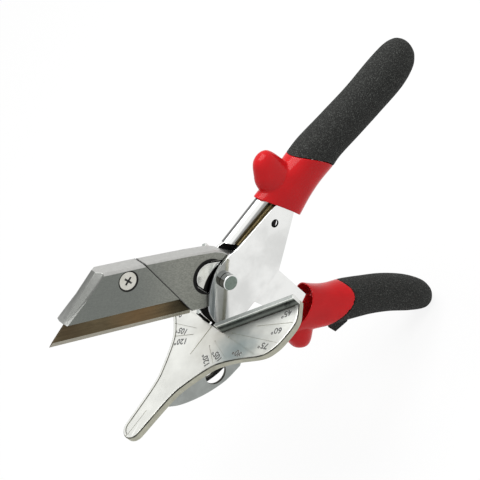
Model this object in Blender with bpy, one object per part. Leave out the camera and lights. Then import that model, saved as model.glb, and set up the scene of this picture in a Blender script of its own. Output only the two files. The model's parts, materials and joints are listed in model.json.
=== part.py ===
"""Molding cutter: a mitre shear whose blade closes on a fan-shaped table with an angle scale.

World frame: the origin is the apex of the angle scale on the table's face, +X runs to the handles,
+Z is square to the table and the pivot axis runs along Y. The blade arm is built closed, round its
pivot, in a frame of its own, and an empty on the pivot axis opens it to the rest position.
"""
import math

import bmesh
import bpy
from mathutils import Vector

MM = 0.001

# Clearances and helpers
FIT = 0.3 * MM
OVERRUN = 6.0 * MM
ROUND_STEPS = 24
SMOOTH_STEPS = 4
SHARP_ANGLE = math.radians(35)

# Pivot and opening
PIVOT_BACK = 25.0 * MM
PIVOT_HEIGHT = 17.6 * MM
OPEN_ANGLE = math.radians(44)

# Scale table, one casting with the fences and the keel
TABLE_THICK = 4.0 * MM
RIM_HEIGHT = 0.4 * MM
RIM_WIDTH = 1.8 * MM
NOSE_REACH = 73.0 * MM
NOSE_RADIUS = 6.6 * MM
FAN_HALF_WIDTH = 51.5 * MM
FENCE_OFFSET = 7.6 * MM
FENCE_START = 10.0 * MM
FENCE_REACH = 37.0 * MM
FENCE_HEIGHT = 6.2 * MM
FENCE_THICK = 2.8 * MM
SLOT_FRONT = 2.4 * MM
TABLE_CHAMFER = 0.5 * MM
FRONT_EDGE_SHARES = ((0.575, 0.172), (0.42, 0.243), (0.233, 0.379), (0.144, 0.495), (0.062, 0.65))
SIDE_EDGE_SHARES = ((0.06, 0.854), (0.2, 0.945), (0.42, 0.995), (0.76, 0.99))

# Keel under the table
KEEL_WEB = 1.7 * MM
KEEL_DEPTH = 25.0 * MM
KEEL_FRONT = 48.0 * MM
KEEL_BACK = 9.0 * MM
KEEL_EDGE_SHARES = ((0.86, 0.34), (0.62, 0.68), (0.35, 0.92), (0.1, 1.0))
KEEL_REAR_SHARE = 0.72
KEEL_HOLE_RADIUS = 6.6 * MM
KEEL_HOLE_SHARES = (0.34, 0.56)

# Cheeks, the two side plates of the fixed arm
CHEEK_THICK = 1.6 * MM
CHEEK_INNER = 5.6 * MM
CHEEK_TOP = 26.7 * MM
CHEEK_FRONT_SHARES = ((0.164, 0.0), (0.172, 0.187), (0.22, 0.4), (0.29, 0.53), (0.432, 0.689), (0.616, 0.835),
                      (0.912, 0.974), (1.216, 1.0), (1.448, 0.981), (1.664, 0.925))
CHEEK_BELLY = 7.0 * MM
CHEEK_BELLY_BACK = 48.5 * MM
CHEEK_TAIL = 26.0 * MM
CHEEK_TAIL_TOP = 21.0 * MM
CHEEK_TAIL_BOTTOM = 11.6 * MM
CHEEK_NECK_BOTTOM = 9.4 * MM
CHEEK_NECK_TOP = 23.0 * MM
CHEEK_NECK_LEAD = 2.4 * MM
CHEEK_HOLE_RADIUS = 2.3 * MM
CHEEK_HOLE_HEIGHT = 15.6 * MM
CHEEK_HOLE_AHEAD = 8.6 * MM
TAB_FRONT = 11.0 * MM
TAB_BACK = 12.0 * MM
TAB_DEPTH = 17.0 * MM

# Handle channel, with a round top, between the cheeks and on into the handle
CHANNEL_RADIUS = 3.8 * MM
CHANNEL_WALL = 1.2 * MM
CHANNEL_FRONT = 39.6 * MM
CHANNEL_FRONT_SLANT = 2.4 * MM
CHANNEL_CROWN = 30.2 * MM
CHANNEL_SKIRT = 2.0 * MM
CHANNEL_LIP = 9.0 * MM
CHANNEL_REACH = 66.0 * MM
TANG_TOP = 22.5 * MM
TANG_BOTTOM = 9.8 * MM
TANG_STEP = 11.0 * MM

# Bronze strips in the slots between channel and cheeks
STRIP_HEIGHT = 4.6 * MM
STRIP_RISE = 1.3 * MM
STRIP_LEAD = 3.4 * MM

# Handles: a vinyl sleeve with a thumb guard, then a foam grip; distances along X from the frame's
# origin for the upper handle and from the pivot for the lower one. A guard's shares give the
# distance from its middle to the seam, and its half length, as shares of the sleeve's length
UPPER_MOUTH = 73.8 * MM
UPPER_SEAM = 104.6 * MM
UPPER_TIP = 190.6 * MM
UPPER_CENTRE = 16.9 * MM
UPPER_SLANTS = (5.0 * MM, 6.1 * MM)
UPPER_BULGES = (1.0 * MM, 2.5 * MM)
UPPER_GUARD_HEIGHT = 18.9 * MM
UPPER_GUARD_SHARES = (0.675, 0.357)
LOWER_MOUTH = 49.5 * MM
LOWER_SEAM = 73.3 * MM
LOWER_TIP = 150.6 * MM
LOWER_CENTRE = 31.2 * MM
LOWER_SLANTS = (8.0 * MM, 9.0 * MM)
LOWER_BULGES = (4.0 * MM, 10.0 * MM)
LOWER_GUARD_HEIGHT = 13.2 * MM
LOWER_GUARD_SHARES = (0.832, 0.42)
SLEEVE_SETTLE = 1.6 * MM
SLEEVE_MOUTH_HALF_HEIGHT = 14.4 * MM
SLEEVE_MOUTH_HALF_WIDTH = 9.4 * MM
GRIP_HALF_HEIGHT = 12.3 * MM
GRIP_HALF_WIDTH = 11.3 * MM
MOUTH_DEPTH_SHARE = 0.36
MOUTH_WALL = 0.9 * MM
MOUTH_EGG_SHARE = 0.16
SECTION_POWER = 2.2
SECTION_STEPS = 28
GUARD_SINK = 3.4 * MM
GUARD_HALF_WIDTH = 6.6 * MM
GUARD_SHARES = ((0.0, 0.0, 1.0, 1.0), (0.4, 0.02, 0.9, 0.95), (0.62, 0.1, 0.76, 0.88), (0.8, 0.16, 0.62, 0.76),
                (0.92, 0.19, 0.47, 0.58), (0.985, 0.2, 0.27, 0.33), (1.0, 0.2, 0.1, 0.12))
SLEEVE_SHARES = ((0.0, 0.0, 0.0, 0.0), (0.35, 0.7, 0.7, 0.15), (0.65, 1.05, 1.0, 0.45), (1.0, 1.0, 1.0, 1.0))
UPPER_GRIP_SHARES = ((0.0, 0.0, 1.0), (0.1, 0.02, 0.99), (0.3, -0.13, 0.96), (0.52, -0.28, 0.95),
                     (0.75, -0.36, 0.97), (0.89, -0.33, 0.86), (0.96, -0.28, 0.64), (0.99, -0.25, 0.38),
                     (1.0, -0.24, 0.14))
LOWER_GRIP_SHARES = ((0.0, 0.0, 1.0), (0.12, 0.0, 0.98), (0.35, 0.04, 0.94), (0.55, 0.18, 0.93),
                     (0.75, 0.46, 0.9), (0.9, 0.72, 0.76), (0.965, 0.84, 0.55), (0.99, 0.88, 0.36),
                     (1.0, 0.9, 0.14))
SEAM_GAP = 0.4 * MM
GRIP_FADE = 3.0
FIN_HEIGHT = 5.0 * MM
FIN_LENGTH = 13.0 * MM
FIN_HALF_WIDTH = 4.0 * MM
FIN_POINT_SHARE = 0.35
FIN_ROOT_LEAD = 2.6 * MM

# Blade, a trapezoid with a bevelled edge; forward distances run from the pivot
BLADE_THICK = 1.2 * MM
BLADE_WIDTH = 22.0 * MM
BLADE_HEEL = 18.5 * MM
BLADE_LENGTH = 82.0 * MM
BLADE_END_RUN = 17.6 * MM
BLADE_BEVEL = 2.2 * MM
EDGE_FLAT = 0.15 * MM

# Blade carrier and its front cover
CARRIER_HALF = 5.0 * MM
CARRIER_TOP = 18.6 * MM
CARRIER_BOTTOM = 14.4 * MM
CARRIER_HEEL = 11.3 * MM
CARRIER_REAR = 1.6 * MM
CARRIER_REAR_SHARES = ((-12.4, 0.97), (-3.6, 0.93), (-0.7, 0.86), (1.0, 0.775))
CARRIER_CHAMFER = 0.8 * MM
SEAM_TOP = 48.5 * MM
SEAM_BOTTOM = 19.6 * MM
LUG_HALF = 3.0 * MM
LUG_REACH = 25.0 * MM
LUG_HEIGHT_SHARES = ((0.42, 0.44), (1.0, -0.13), (1.0, -0.55), (0.3, -0.6))
COVER_HALF = 5.8 * MM
COVER_INNER = 3.2 * MM
COVER_BOTTOM = 5.2 * MM
COVER_ROOF = 2.6 * MM
COVER_CHAMFER = 1.5 * MM
COVER_CHAMFER_WIDTH = 1.2 * MM
NOSE_TOP_REACH = 75.0 * MM
NOSE_LOW_REACH = 93.8 * MM
NOSE_MID_SHARE = 0.5
NOSE_INSETS = (4.2 * MM, 3.4 * MM, 0.8 * MM)
NOSE_STEP_INSETS = (3.0 * MM, 2.2 * MM, 0.3 * MM)
NOSE_HALVES = (5.0 * MM, 5.0 * MM, 3.4 * MM)
NOSE_FLAT_HALF = 2.0 * MM
TONGUE_NOSE_WALL = 2.5 * MM

# Clamp screw and nut
SCREW_FORWARD = 58.2 * MM
SCREW_UP = 11.5 * MM
SCREW_HEAD_RADIUS = 4.9 * MM
SCREW_HEAD_DEPTH = 1.7 * MM
SCREW_RADIUS = 2.0 * MM
NUT_HALF_FLATS = 3.9 * MM
NUT_THICK = 2.8 * MM
PIN_RADIUS = 1.5 * MM
PIN_SHARES = (0.213, 0.701)
PIN_DROP = 1.5 * MM

# Lower channel, the tail of the blade arm that carries the lower handle
TAIL_HALF = 4.9 * MM
TAIL_WALL = 1.6 * MM
TAIL_NOSE_FORWARD = 9.5 * MM
TAIL_NOSE_UP = 3.4 * MM
TAIL_NOSE_RADIUS = 7.6 * MM
TAIL_TOP = 10.4 * MM
TAIL_BACK_SHARE = 0.58
TAIL_BACK_DROP = 18.2 * MM
TAIL_BELLY = 13.5 * MM
TAIL_ELBOW = 35.5 * MM
TAIL_ELBOW_DROP = 2.4 * MM
TAIL_NECK = 54.5 * MM
TAIL_NECK_DROP = 20.8 * MM
TAIL_END = 108.0 * MM
TAIL_HALF_HEIGHT = 7.4 * MM
RECESS_GAP = 0.7 * MM

# Pivot and rivets
BOLT_RADIUS = 3.6 * MM
BOLT_HEAD_RADIUS = 4.4 * MM
BOLT_HEAD_HEIGHT = 4.0 * MM
BOLT_CHAMFER = 0.7 * MM
WASHER_RADIUS = 6.6 * MM
WASHER_THICK = 0.9 * MM
BUSH_WALL = 1.2 * MM
PIVOT_NUT_HALF_FLATS = 5.5 * MM
PIVOT_NUT_THICK = 4.6 * MM
RIVET_RADIUS = 1.6 * MM
RIVET_HEAD_RADIUS = 2.9 * MM
RIVET_HEAD_HEIGHT = 1.1 * MM
TABLE_RIVET_SHARES = ((-0.62, 0.36), (0.12, 0.42), (-0.1, 0.8))
TAIL_RIVET_SHARES = ((0.62, -0.05), (0.86, -0.26))

CHEEK_OUTER = CHEEK_INNER + CHEEK_THICK
KEEL_OUTER = CHEEK_INNER - FIT
KEEL_INNER = KEEL_OUTER - KEEL_WEB
EDGE_DEPTH = PIVOT_HEIGHT - FIT
PIN_FORWARDS = tuple(BLADE_HEEL + BLADE_LENGTH * share for share in PIN_SHARES)
BLADE_TOP = EDGE_DEPTH - BLADE_WIDTH
STEEL = ("polished_steel", (0.80, 0.80, 0.81), 0.16, 1.0)
SATIN = ("satin_casting", (0.66, 0.66, 0.64), 0.38, 1.0)
GREY = ("grey_casting", (0.42, 0.42, 0.41), 0.5, 0.9)
BRONZE = ("bronze_strip", (0.36, 0.23, 0.08), 0.35, 1.0)
EDGE_STEEL = ("tinted_blade", (0.30, 0.20, 0.14), 0.25, 1.0)
RED = ("red_vinyl", (0.72, 0.03, 0.04), 0.2, 0.0)
BLACK = ("black_foam", (0.03, 0.03, 0.03), 0.9, 0.0)
SCREW_STEEL = ("screw_steel", (0.72, 0.70, 0.63), 0.3, 1.0)


def clear_scene():
    """Removes every object, mesh and material of the open file."""
    for thing in list(bpy.data.objects):
        bpy.data.objects.remove(thing, do_unlink=True)
    for store in (bpy.data.meshes, bpy.data.materials):
        for block in list(store):
            store.remove(block)


def material(spec):
    """Returns the material of this name, made once."""
    name, colour, roughness, metallic = spec
    found = bpy.data.materials.get(name)
    if found:
        return found
    made = bpy.data.materials.new(name)
    made.use_nodes = True
    shader = made.node_tree.nodes["Principled BSDF"]
    shader.inputs["Base Color"].default_value = (*colour, 1.0)
    shader.inputs["Roughness"].default_value = roughness
    shader.inputs["Metallic"].default_value = metallic
    made.diffuse_color = (*colour, 1.0)
    return made


def build(name, vertices, faces, spec=None, parent=None):
    """Makes one object; without a material it is a hidden cutter."""
    mesh = bpy.data.meshes.new(name)
    mesh.from_pydata([tuple(v) for v in vertices], [], faces)
    work = bmesh.new()
    work.from_mesh(mesh)
    bmesh.ops.recalc_face_normals(work, faces=work.faces)
    work.to_mesh(mesh)
    work.free()
    thing = bpy.data.objects.new(name, mesh)
    bpy.context.scene.collection.objects.link(thing)
    thing.parent = parent
    if spec:
        mesh.materials.append(material(spec))
        mesh.shade_smooth()
        mesh.set_sharp_from_angle(angle=SHARP_ANGLE)
    else:
        thing.hide_render = True
        thing.display_type = "WIRE"
    return thing


def loft(name, rings, spec=None, parent=None):
    """Joins rings of equal length into a closed body with flat ends."""
    count = len(rings[0])
    vertices = [point for ring in rings for point in ring]
    faces = [tuple(range(count))]
    for level in range(len(rings) - 1):
        low = level * count
        for i in range(count):
            j = (i + 1) % count
            faces.append((low + i, low + j, low + count + j, low + count + i))
    last = (len(rings) - 1) * count
    faces.append(tuple(last + i for i in range(count)))
    return build(name, vertices, faces, spec, parent)


def plate(name, outline, left, right, spec=None, parent=None):
    """An outline in X and Z, thick along Y from left to right."""
    return loft(name, [[(x, y, z) for x, z in outline] for y in (left, right)], spec, parent)


def slab(name, outline, low, high, spec=None, parent=None):
    """An outline in X and Y, thick along Z from low to high."""
    return loft(name, [[(x, y, z) for x, y in outline] for z in (low, high)], spec, parent)


def turned(name, profile, centre, spec=None, parent=None, steps=ROUND_STEPS):
    """Turns a profile of (radius, y) pairs round the Y line through centre (x, z)."""
    rings = []
    for radius, y in profile:
        ring = []
        for i in range(steps):
            angle = 2 * math.pi * i / steps
            ring.append((centre[0] + radius * math.cos(angle), y, centre[1] + radius * math.sin(angle)))
        rings.append(ring)
    return loft(name, rings, spec, parent)


def boolean(thing, other, operation):
    """Adds an exact Boolean modifier."""
    step = thing.modifiers.new(operation.lower(), "BOOLEAN")
    step.operation = operation
    step.object = other
    step.solver = "EXACT"


def cut(thing, *others):
    """Cuts others out of thing."""
    for other in others:
        boolean(thing, other, "DIFFERENCE")


def add(thing, *others):
    """Joins others to thing as one body."""
    for other in others:
        boolean(thing, other, "UNION")


def smooth(points, steps=SMOOTH_STEPS):
    """A Catmull-Rom curve through points, ends included."""
    first = Vector(points[0]) * 2 - Vector(points[1])
    last = Vector(points[-1]) * 2 - Vector(points[-2])
    knots = [first] + [Vector(p) for p in points] + [last]
    curve = []
    for i in range(1, len(knots) - 2):
        a, b, c, d = knots[i - 1:i + 3]
        for k in range(steps):
            t = k / steps
            p = 0.5 * (2 * b + (c - a) * t + (2 * a - 5 * b + 4 * c - d) * t ** 2
                       + (3 * b - a - 3 * c + d) * t ** 3)
            curve.append(tuple(p))
    curve.append(tuple(knots[-2]))
    return curve


def arc(centre, radius, start, end, steps):
    """Points on a circle from start to end, in degrees."""
    points = []
    for i in range(steps + 1):
        angle = math.radians(start + (end - start) * i / steps)
        points.append((centre[0] + radius * math.cos(angle), centre[1] + radius * math.sin(angle)))
    return points


def offset(points, distances):
    """Moves each edge of a closed outline inwards by its own distance, or all by the same one."""
    count = len(points)
    if not isinstance(distances, (list, tuple)):
        distances = [distances] * count
    area = sum(points[i - 1][0] * points[i][1] - points[i][0] * points[i - 1][1] for i in range(count))
    turn = 1 if area > 0 else -1
    result = []
    for i in range(count):
        before, here, after = (Vector(points[(i + k) % count]) for k in (-1, 0, 1))
        first = (here - before).normalized()
        second = (after - here).normalized()
        first_in = Vector((-first.y, first.x)) * turn
        second_in = Vector((-second.y, second.x)) * turn
        cross = first.x * second.y - first.y * second.x
        start = here + first_in * distances[i - 1]
        end = here + second_in * distances[i]
        if abs(cross) < 0.02:
            result.append(tuple((start + end) / 2))
        else:
            gap = end - start
            along = (gap.x * second.y - gap.y * second.x) / cross
            result.append(tuple(start + first * along))
    return result


def inset(curve, distance):
    """Moves an open curve to its right-hand side by a distance."""
    moved = []
    for i, point in enumerate(curve):
        before = Vector(curve[max(i - 1, 0)])
        after = Vector(curve[min(i + 1, len(curve) - 1)])
        along = (after - before).normalized()
        moved.append((point[0] + along.y * distance, point[1] - along.x * distance))
    return moved


def table_edge():
    """The far side's edge, from the nose's tip round to the fence's outer end."""
    nose_centre = -NOSE_REACH + NOSE_RADIUS
    nose = arc((nose_centre, 0), NOSE_RADIUS, 180, 100, 8)
    front = [(-NOSE_REACH * x, FAN_HALF_WIDTH * y) for x, y in FRONT_EDGE_SHARES]
    side = [(FENCE_REACH * x, FAN_HALF_WIDTH * y) for x, y in SIDE_EDGE_SHARES]
    end = [(FENCE_REACH, FENCE_REACH + FENCE_OFFSET)]
    return nose[:-1] + smooth(nose[-1:] + front + side + end)


def mirrored(points):
    """The same points on the other side, in reverse order."""
    return [(x, -y) for x, y in reversed(points)]


def make_table():
    """Fan-shaped casting: rim, recessed scale face, two fences at 45 degrees and a keel of two webs."""
    edge = table_edge()
    back_shift = FENCE_THICK * math.sqrt(2)
    back_end = (FENCE_REACH + back_shift / 2, FENCE_REACH + FENCE_OFFSET - back_shift / 2)
    slot_half = CHEEK_OUTER + FIT
    back_start = (slot_half - FENCE_OFFSET + back_shift, slot_half)
    half = edge + [back_end, back_start, (SLOT_FRONT, slot_half)]
    outline = half + mirrored(half)[:-1]
    small = offset(outline, TABLE_CHAMFER)
    levels = ((-TABLE_THICK, small), (-TABLE_THICK + TABLE_CHAMFER, outline), (RIM_HEIGHT - TABLE_CHAMFER, outline),
              (RIM_HEIGHT, small))
    table = loft("scale_table", [[(x, y, z) for x, y in ring] for z, ring in levels], SATIN)
    face_end = (FENCE_REACH, FENCE_REACH + FENCE_OFFSET)
    face_start = (FENCE_START - FENCE_OFFSET, FENCE_START)
    fences = []
    for side in (1, -1):
        corners = [face_start, face_end, back_end, back_start, (SLOT_FRONT, slot_half)]
        corners = [(x, side * y) for x, y in corners]
        fences.append(slab(f"fence_{side}", corners, -TABLE_THICK / 2, FENCE_HEIGHT))
    inner = inset(edge, RIM_WIDTH)
    inner = [p for p in inner if p[0] < face_end[0] - RIM_WIDTH]
    inner_end = (face_end[0] - RIM_WIDTH, face_end[1] - RIM_WIDTH)
    inner = inner[:-1] + [inner_end, face_start, (SLOT_FRONT, slot_half), (SLOT_FRONT + OVERRUN, slot_half)]
    pocket = slab("scale_face_cutter", inner + mirrored(inner)[:-1], 0, OVERRUN)
    landing_half = EDGE_FLAT / 2 + FIT
    landing_end = -NOSE_REACH + RIM_WIDTH + TABLE_CHAMFER
    landing = [(-NOSE_REACH - OVERRUN, landing_half), (-NOSE_REACH - OVERRUN, -landing_half),
               (landing_end, -landing_half), (landing_end, landing_half)]
    cut(table, pocket, slab("blade_landing_cutter", landing, 0, OVERRUN))
    add(table, *fences)
    keel_edge = [(-KEEL_FRONT * x, -TABLE_THICK - KEEL_DEPTH * z) for x, z in KEEL_EDGE_SHARES]
    keel = [(-KEEL_FRONT, -TABLE_THICK / 2)] + smooth([(-KEEL_FRONT, -TABLE_THICK)] + keel_edge)
    keel += [(KEEL_BACK, -TABLE_THICK - KEEL_DEPTH * KEEL_REAR_SHARE), (KEEL_BACK, -TABLE_THICK - FIT)]
    keel += [(SLOT_FRONT - FIT, -TABLE_THICK - FIT), (SLOT_FRONT - FIT, -TABLE_THICK / 2)]
    webs = [plate(f"keel_web_{side}", keel, side * KEEL_INNER, side * KEEL_OUTER) for side in (1, -1)]
    add(table, *webs)
    hole_centre = (-KEEL_FRONT * KEEL_HOLE_SHARES[0], -TABLE_THICK - KEEL_DEPTH * KEEL_HOLE_SHARES[1])
    reach = CHEEK_OUTER + OVERRUN
    holes = [turned("keel_hole", [(KEEL_HOLE_RADIUS, -reach), (KEEL_HOLE_RADIUS, reach)], hole_centre)]
    for centre in table_rivet_places():
        holes.append(turned("keel_rivet_hole", [(RIVET_RADIUS + FIT, -reach), (RIVET_RADIUS + FIT, reach)],
                            centre, steps=12))
    cut(table, *holes)


def table_rivet_places():
    """Where the rivets cross the cheeks' tabs and the keel."""
    return [(TAB_FRONT * x, -TABLE_THICK - TAB_DEPTH * z) for x, z in TABLE_RIVET_SHARES]


def make_cheeks():
    """Two side plates from the table to the handle, with a tab each that laps the keel."""
    front = smooth([(PIVOT_BACK * x, CHEEK_TOP * z) for x, z in CHEEK_FRONT_SHARES], 3)
    tail_end = UPPER_MOUTH + CHEEK_TAIL
    neck_end = UPPER_MOUTH + CHEEK_NECK_LEAD
    under = -TABLE_THICK - FIT
    outline = [(-TAB_FRONT, under), (front[0][0], under)] + front
    outline += [(UPPER_MOUTH - CHEEK_NECK_LEAD, CHEEK_NECK_TOP), (neck_end, CHEEK_TAIL_TOP)]
    outline += [(tail_end, CHEEK_TAIL_TOP), (tail_end, CHEEK_TAIL_BOTTOM)]
    outline += [(neck_end + CHEEK_NECK_LEAD, CHEEK_TAIL_BOTTOM), (neck_end, CHEEK_NECK_BOTTOM)]
    outline += [(CHEEK_BELLY_BACK, -CHEEK_BELLY)]
    outline += [(TAB_BACK, -CHEEK_BELLY), (TAB_BACK / 2, -TABLE_THICK - TAB_DEPTH)]
    outline += [(-TAB_FRONT / 2, -TABLE_THICK - TAB_DEPTH), (-TAB_FRONT, -TABLE_THICK - TAB_DEPTH / 2)]
    reach = CHEEK_OUTER + OVERRUN
    hole_centre = (UPPER_MOUTH - CHEEK_HOLE_AHEAD, CHEEK_HOLE_HEIGHT)
    small = [turned("cheek_hole", [(CHEEK_HOLE_RADIUS, -reach), (CHEEK_HOLE_RADIUS, reach)], hole_centre)]
    small.append(turned("cheek_bolt_hole", [(BOLT_RADIUS + FIT, -reach), (BOLT_RADIUS + FIT, reach)],
                        (PIVOT_BACK, PIVOT_HEIGHT)))
    for centre in table_rivet_places():
        small.append(turned("tab_rivet_hole", [(RIVET_RADIUS + FIT, -reach), (RIVET_RADIUS + FIT, reach)],
                            centre, steps=12))
    for name, side in (("near_cheek", -1), ("far_cheek", 1)):
        cheek = plate(name, outline, side * CHEEK_INNER, side * CHEEK_OUTER, STEEL)
        cut(cheek, *small)


def channel_ring(x, low, crown, slant):
    """One U-shaped section of the handle channel, open below; slant leans it back towards its edges."""
    inner = CHANNEL_RADIUS - CHANNEL_WALL
    centre = crown - CHANNEL_RADIUS
    outside = arc((0, centre), CHANNEL_RADIUS, 180, 0, 10)
    inside = arc((0, centre), inner, 0, 180, 10)
    section = [(-CHANNEL_RADIUS, low)] + outside + [(CHANNEL_RADIUS, low), (inner, low)] + inside + [(-inner, low)]
    return [(x + slant * (crown - z) / CHANNEL_RADIUS, y, z) for y, z in section]


def make_handle_channel():
    """Chromed channel with a round back, its walls cut away where the blade arm swings."""
    skirt = CHANNEL_CROWN - CHANNEL_RADIUS - CHANNEL_SKIRT
    step = UPPER_MOUTH + CHEEK_NECK_LEAD
    sections = [
        (CHANNEL_FRONT, skirt, CHANNEL_CROWN, CHANNEL_FRONT_SLANT),
        (CHANNEL_FRONT + CHANNEL_LIP, skirt - CHANNEL_SKIRT, CHANNEL_CROWN, 0),
        (UPPER_MOUTH - CHEEK_HOLE_AHEAD, CHEEK_HOLE_HEIGHT + CHEEK_HOLE_RADIUS, CHANNEL_CROWN, 0),
        (step, TANG_BOTTOM, CHANNEL_CROWN, 0),
        (step + TANG_STEP, TANG_BOTTOM, TANG_TOP, 0),
        (UPPER_MOUTH + CHANNEL_REACH, TANG_BOTTOM, TANG_TOP, 0),
    ]
    loft("handle_channel", [channel_ring(*section) for section in sections], STEEL)


def make_slot_strips():
    """Thin bronze strips that line the slots between the channel and the cheeks."""
    inner = CHANNEL_RADIUS + FIT
    outer = CHEEK_INNER - FIT
    start = CHANNEL_FRONT + STRIP_LEAD
    end = UPPER_MOUTH + CHEEK_TAIL / 2
    neck_end = UPPER_MOUTH + CHEEK_NECK_LEAD
    top_start = CHEEK_TOP * CHEEK_FRONT_SHARES[-1][1] + STRIP_RISE / 3
    top_end = CHEEK_NECK_TOP + STRIP_RISE
    outline = [(start, top_start), (UPPER_MOUTH - CHEEK_NECK_LEAD, top_end), (neck_end, CHEEK_TAIL_TOP)]
    outline += [(end, CHEEK_TAIL_TOP), (end, CHEEK_TAIL_TOP - STRIP_HEIGHT)]
    outline += [(UPPER_MOUTH, top_end - STRIP_HEIGHT - STRIP_RISE), (start, top_start - STRIP_RISE * 2)]
    for name, side in (("near_slot_strip", -1), ("far_slot_strip", 1)):
        plate(name, outline, side * inner, side * outer, BRONZE)


def section_ring(x, centre, half_height, half_width, slant, bulge, egg, out):
    """A rounded section across a handle: it leans along X by slant, its flanks lie back by bulge, and
    egg narrows its outer half."""
    ring = []
    for i in range(SECTION_STEPS):
        angle = 2 * math.pi * i / SECTION_STEPS
        c, s = math.cos(angle), math.sin(angle)
        across = math.copysign(abs(c) ** (2 / SECTION_POWER), c)
        up = math.copysign(abs(s) ** (2 / SECTION_POWER), s)
        y = half_width * across * (1 - egg * up)
        ring.append((x - slant * up + bulge * across ** 2, y, out * (centre + half_height * up)))
    return ring


def strip_loft(name, rings, spec=None, parent=None):
    """Joins handle sections into a body whose ends are strips along Y, so that curved ends match."""
    count = SECTION_STEPS
    vertices = [point for ring in rings for point in ring]
    faces = []
    for level in range(len(rings) - 1):
        low = level * count
        for i in range(count):
            j = (i + 1) % count
            faces.append((low + i, low + j, low + count + j, low + count + i))
    crest = count // 4
    for start in (0, (len(rings) - 1) * count):
        for k in range(count // 2):
            strip = [(crest - k) % count, (crest + k) % count, (crest + k + 1) % count, (crest - k - 1) % count]
            faces.append(tuple(dict.fromkeys(start + i for i in strip)))
    return build(name, vertices, faces, spec, parent)


def between(pair, share):
    """The value at a share of the way from the first of a pair to the second."""
    return pair[0] + (pair[1] - pair[0]) * share


def make_handle(prefix, span, centre, slants, bulges, guard, grip_shares, out, core, parent=None):
    """Sleeve and grip of one handle. Span holds mouth, seam and tip along X, guard its height and its
    shares. Out is the sign of the side away from the other handle."""
    mouth, seam, tip = span
    guard_height, (setback_share, half_share) = guard
    guard_setback, guard_half = (seam - mouth) * setback_share, (seam - mouth) * half_share

    def sleeve_ring(along, settle, slim, widen, wall):
        half_height = between((SLEEVE_MOUTH_HALF_HEIGHT, GRIP_HALF_HEIGHT), slim) - wall
        half_width = between((SLEEVE_MOUTH_HALF_WIDTH, GRIP_HALF_WIDTH), widen) - wall
        return section_ring(between((mouth, seam), along), centre + SLEEVE_SETTLE * settle, half_height, half_width,
                            between(slants, along), between(bulges, along), MOUTH_EGG_SHARE * (1 - along), out)

    shares = smooth(SLEEVE_SHARES, 2)
    sleeve = strip_loft(f"{prefix}_sleeve", [sleeve_ring(*row, 0) for row in shares], RED, parent)
    guard_rings = []
    base = centre + SLEEVE_MOUTH_HALF_HEIGHT - GUARD_SINK
    for rise, lead, long_share, wide_share in smooth(GUARD_SHARES, 2):
        ring = []
        for i in range(ROUND_STEPS):
            angle = 2 * math.pi * i / ROUND_STEPS
            x = seam - guard_setback + guard_half * (lead + long_share * math.cos(angle))
            y = GUARD_HALF_WIDTH * wide_share * math.sin(angle)
            ring.append((x, y, out * (base + guard_height * rise)))
        guard_rings.append(ring)
    add(sleeve, loft(f"{prefix}_guard_body", guard_rings, None, parent))
    depth = [row for row in shares if row[0] < MOUTH_DEPTH_SHARE]
    lead = [(-MOUTH_DEPTH_SHARE, *SLEEVE_SHARES[0][1:])]
    mouth_rings = [sleeve_ring(*row, MOUTH_WALL) for row in lead + depth]
    cut(sleeve, strip_loft(f"{prefix}_mouth_cutter", mouth_rings, None, parent), *core)
    rings = []
    for along, shift, size in smooth(grip_shares, 2):
        fade = max(0.0, 1 - GRIP_FADE * along)
        x = between((seam + SEAM_GAP, tip), along)
        middle = centre + SLEEVE_SETTLE + GRIP_HALF_HEIGHT * shift
        rings.append(section_ring(x, middle, GRIP_HALF_HEIGHT * size, GRIP_HALF_WIDTH * size, slants[1] * fade,
                                  bulges[1] * fade, 0, out))
    grip = strip_loft(f"{prefix}_grip", rings, BLACK, parent)
    cut(grip, *core)
    return grip


def make_upper_handle():
    """Sleeve and grip over the tails of the cheeks and the channel."""
    wide = CHEEK_OUTER + FIT
    tail_end = UPPER_MOUTH + CHEEK_TAIL + FIT
    start = UPPER_MOUTH - OVERRUN
    step = UPPER_MOUTH + CHEEK_NECK_LEAD
    tail = [(start, CHEEK_TAIL_BOTTOM - FIT), (tail_end, CHEEK_TAIL_BOTTOM - FIT), (tail_end, CHEEK_TAIL_TOP + FIT),
            (start, CHEEK_TAIL_TOP + FIT)]
    tail_cutter = plate("cheek_tail_cutter", tail, -wide, wide)
    narrow = CHANNEL_RADIUS + FIT
    end = UPPER_MOUTH + CHANNEL_REACH + FIT
    rings = []
    for x, crown in ((start, CHANNEL_CROWN), (step, CHANNEL_CROWN), (step + TANG_STEP, TANG_TOP), (end, TANG_TOP)):
        top = arc((0, crown + FIT - narrow), narrow, 180, 0, 10)
        section = [(-narrow, TANG_BOTTOM - FIT)] + top + [(narrow, TANG_BOTTOM - FIT)]
        rings.append([(x, y, z) for y, z in section])
    channel_cutter = loft("channel_cutter", rings)
    make_handle("upper", (UPPER_MOUTH, UPPER_SEAM, UPPER_TIP), UPPER_CENTRE, UPPER_SLANTS, UPPER_BULGES,
                (UPPER_GUARD_HEIGHT, UPPER_GUARD_SHARES), UPPER_GRIP_SHARES, 1, (tail_cutter, channel_cutter))


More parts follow.
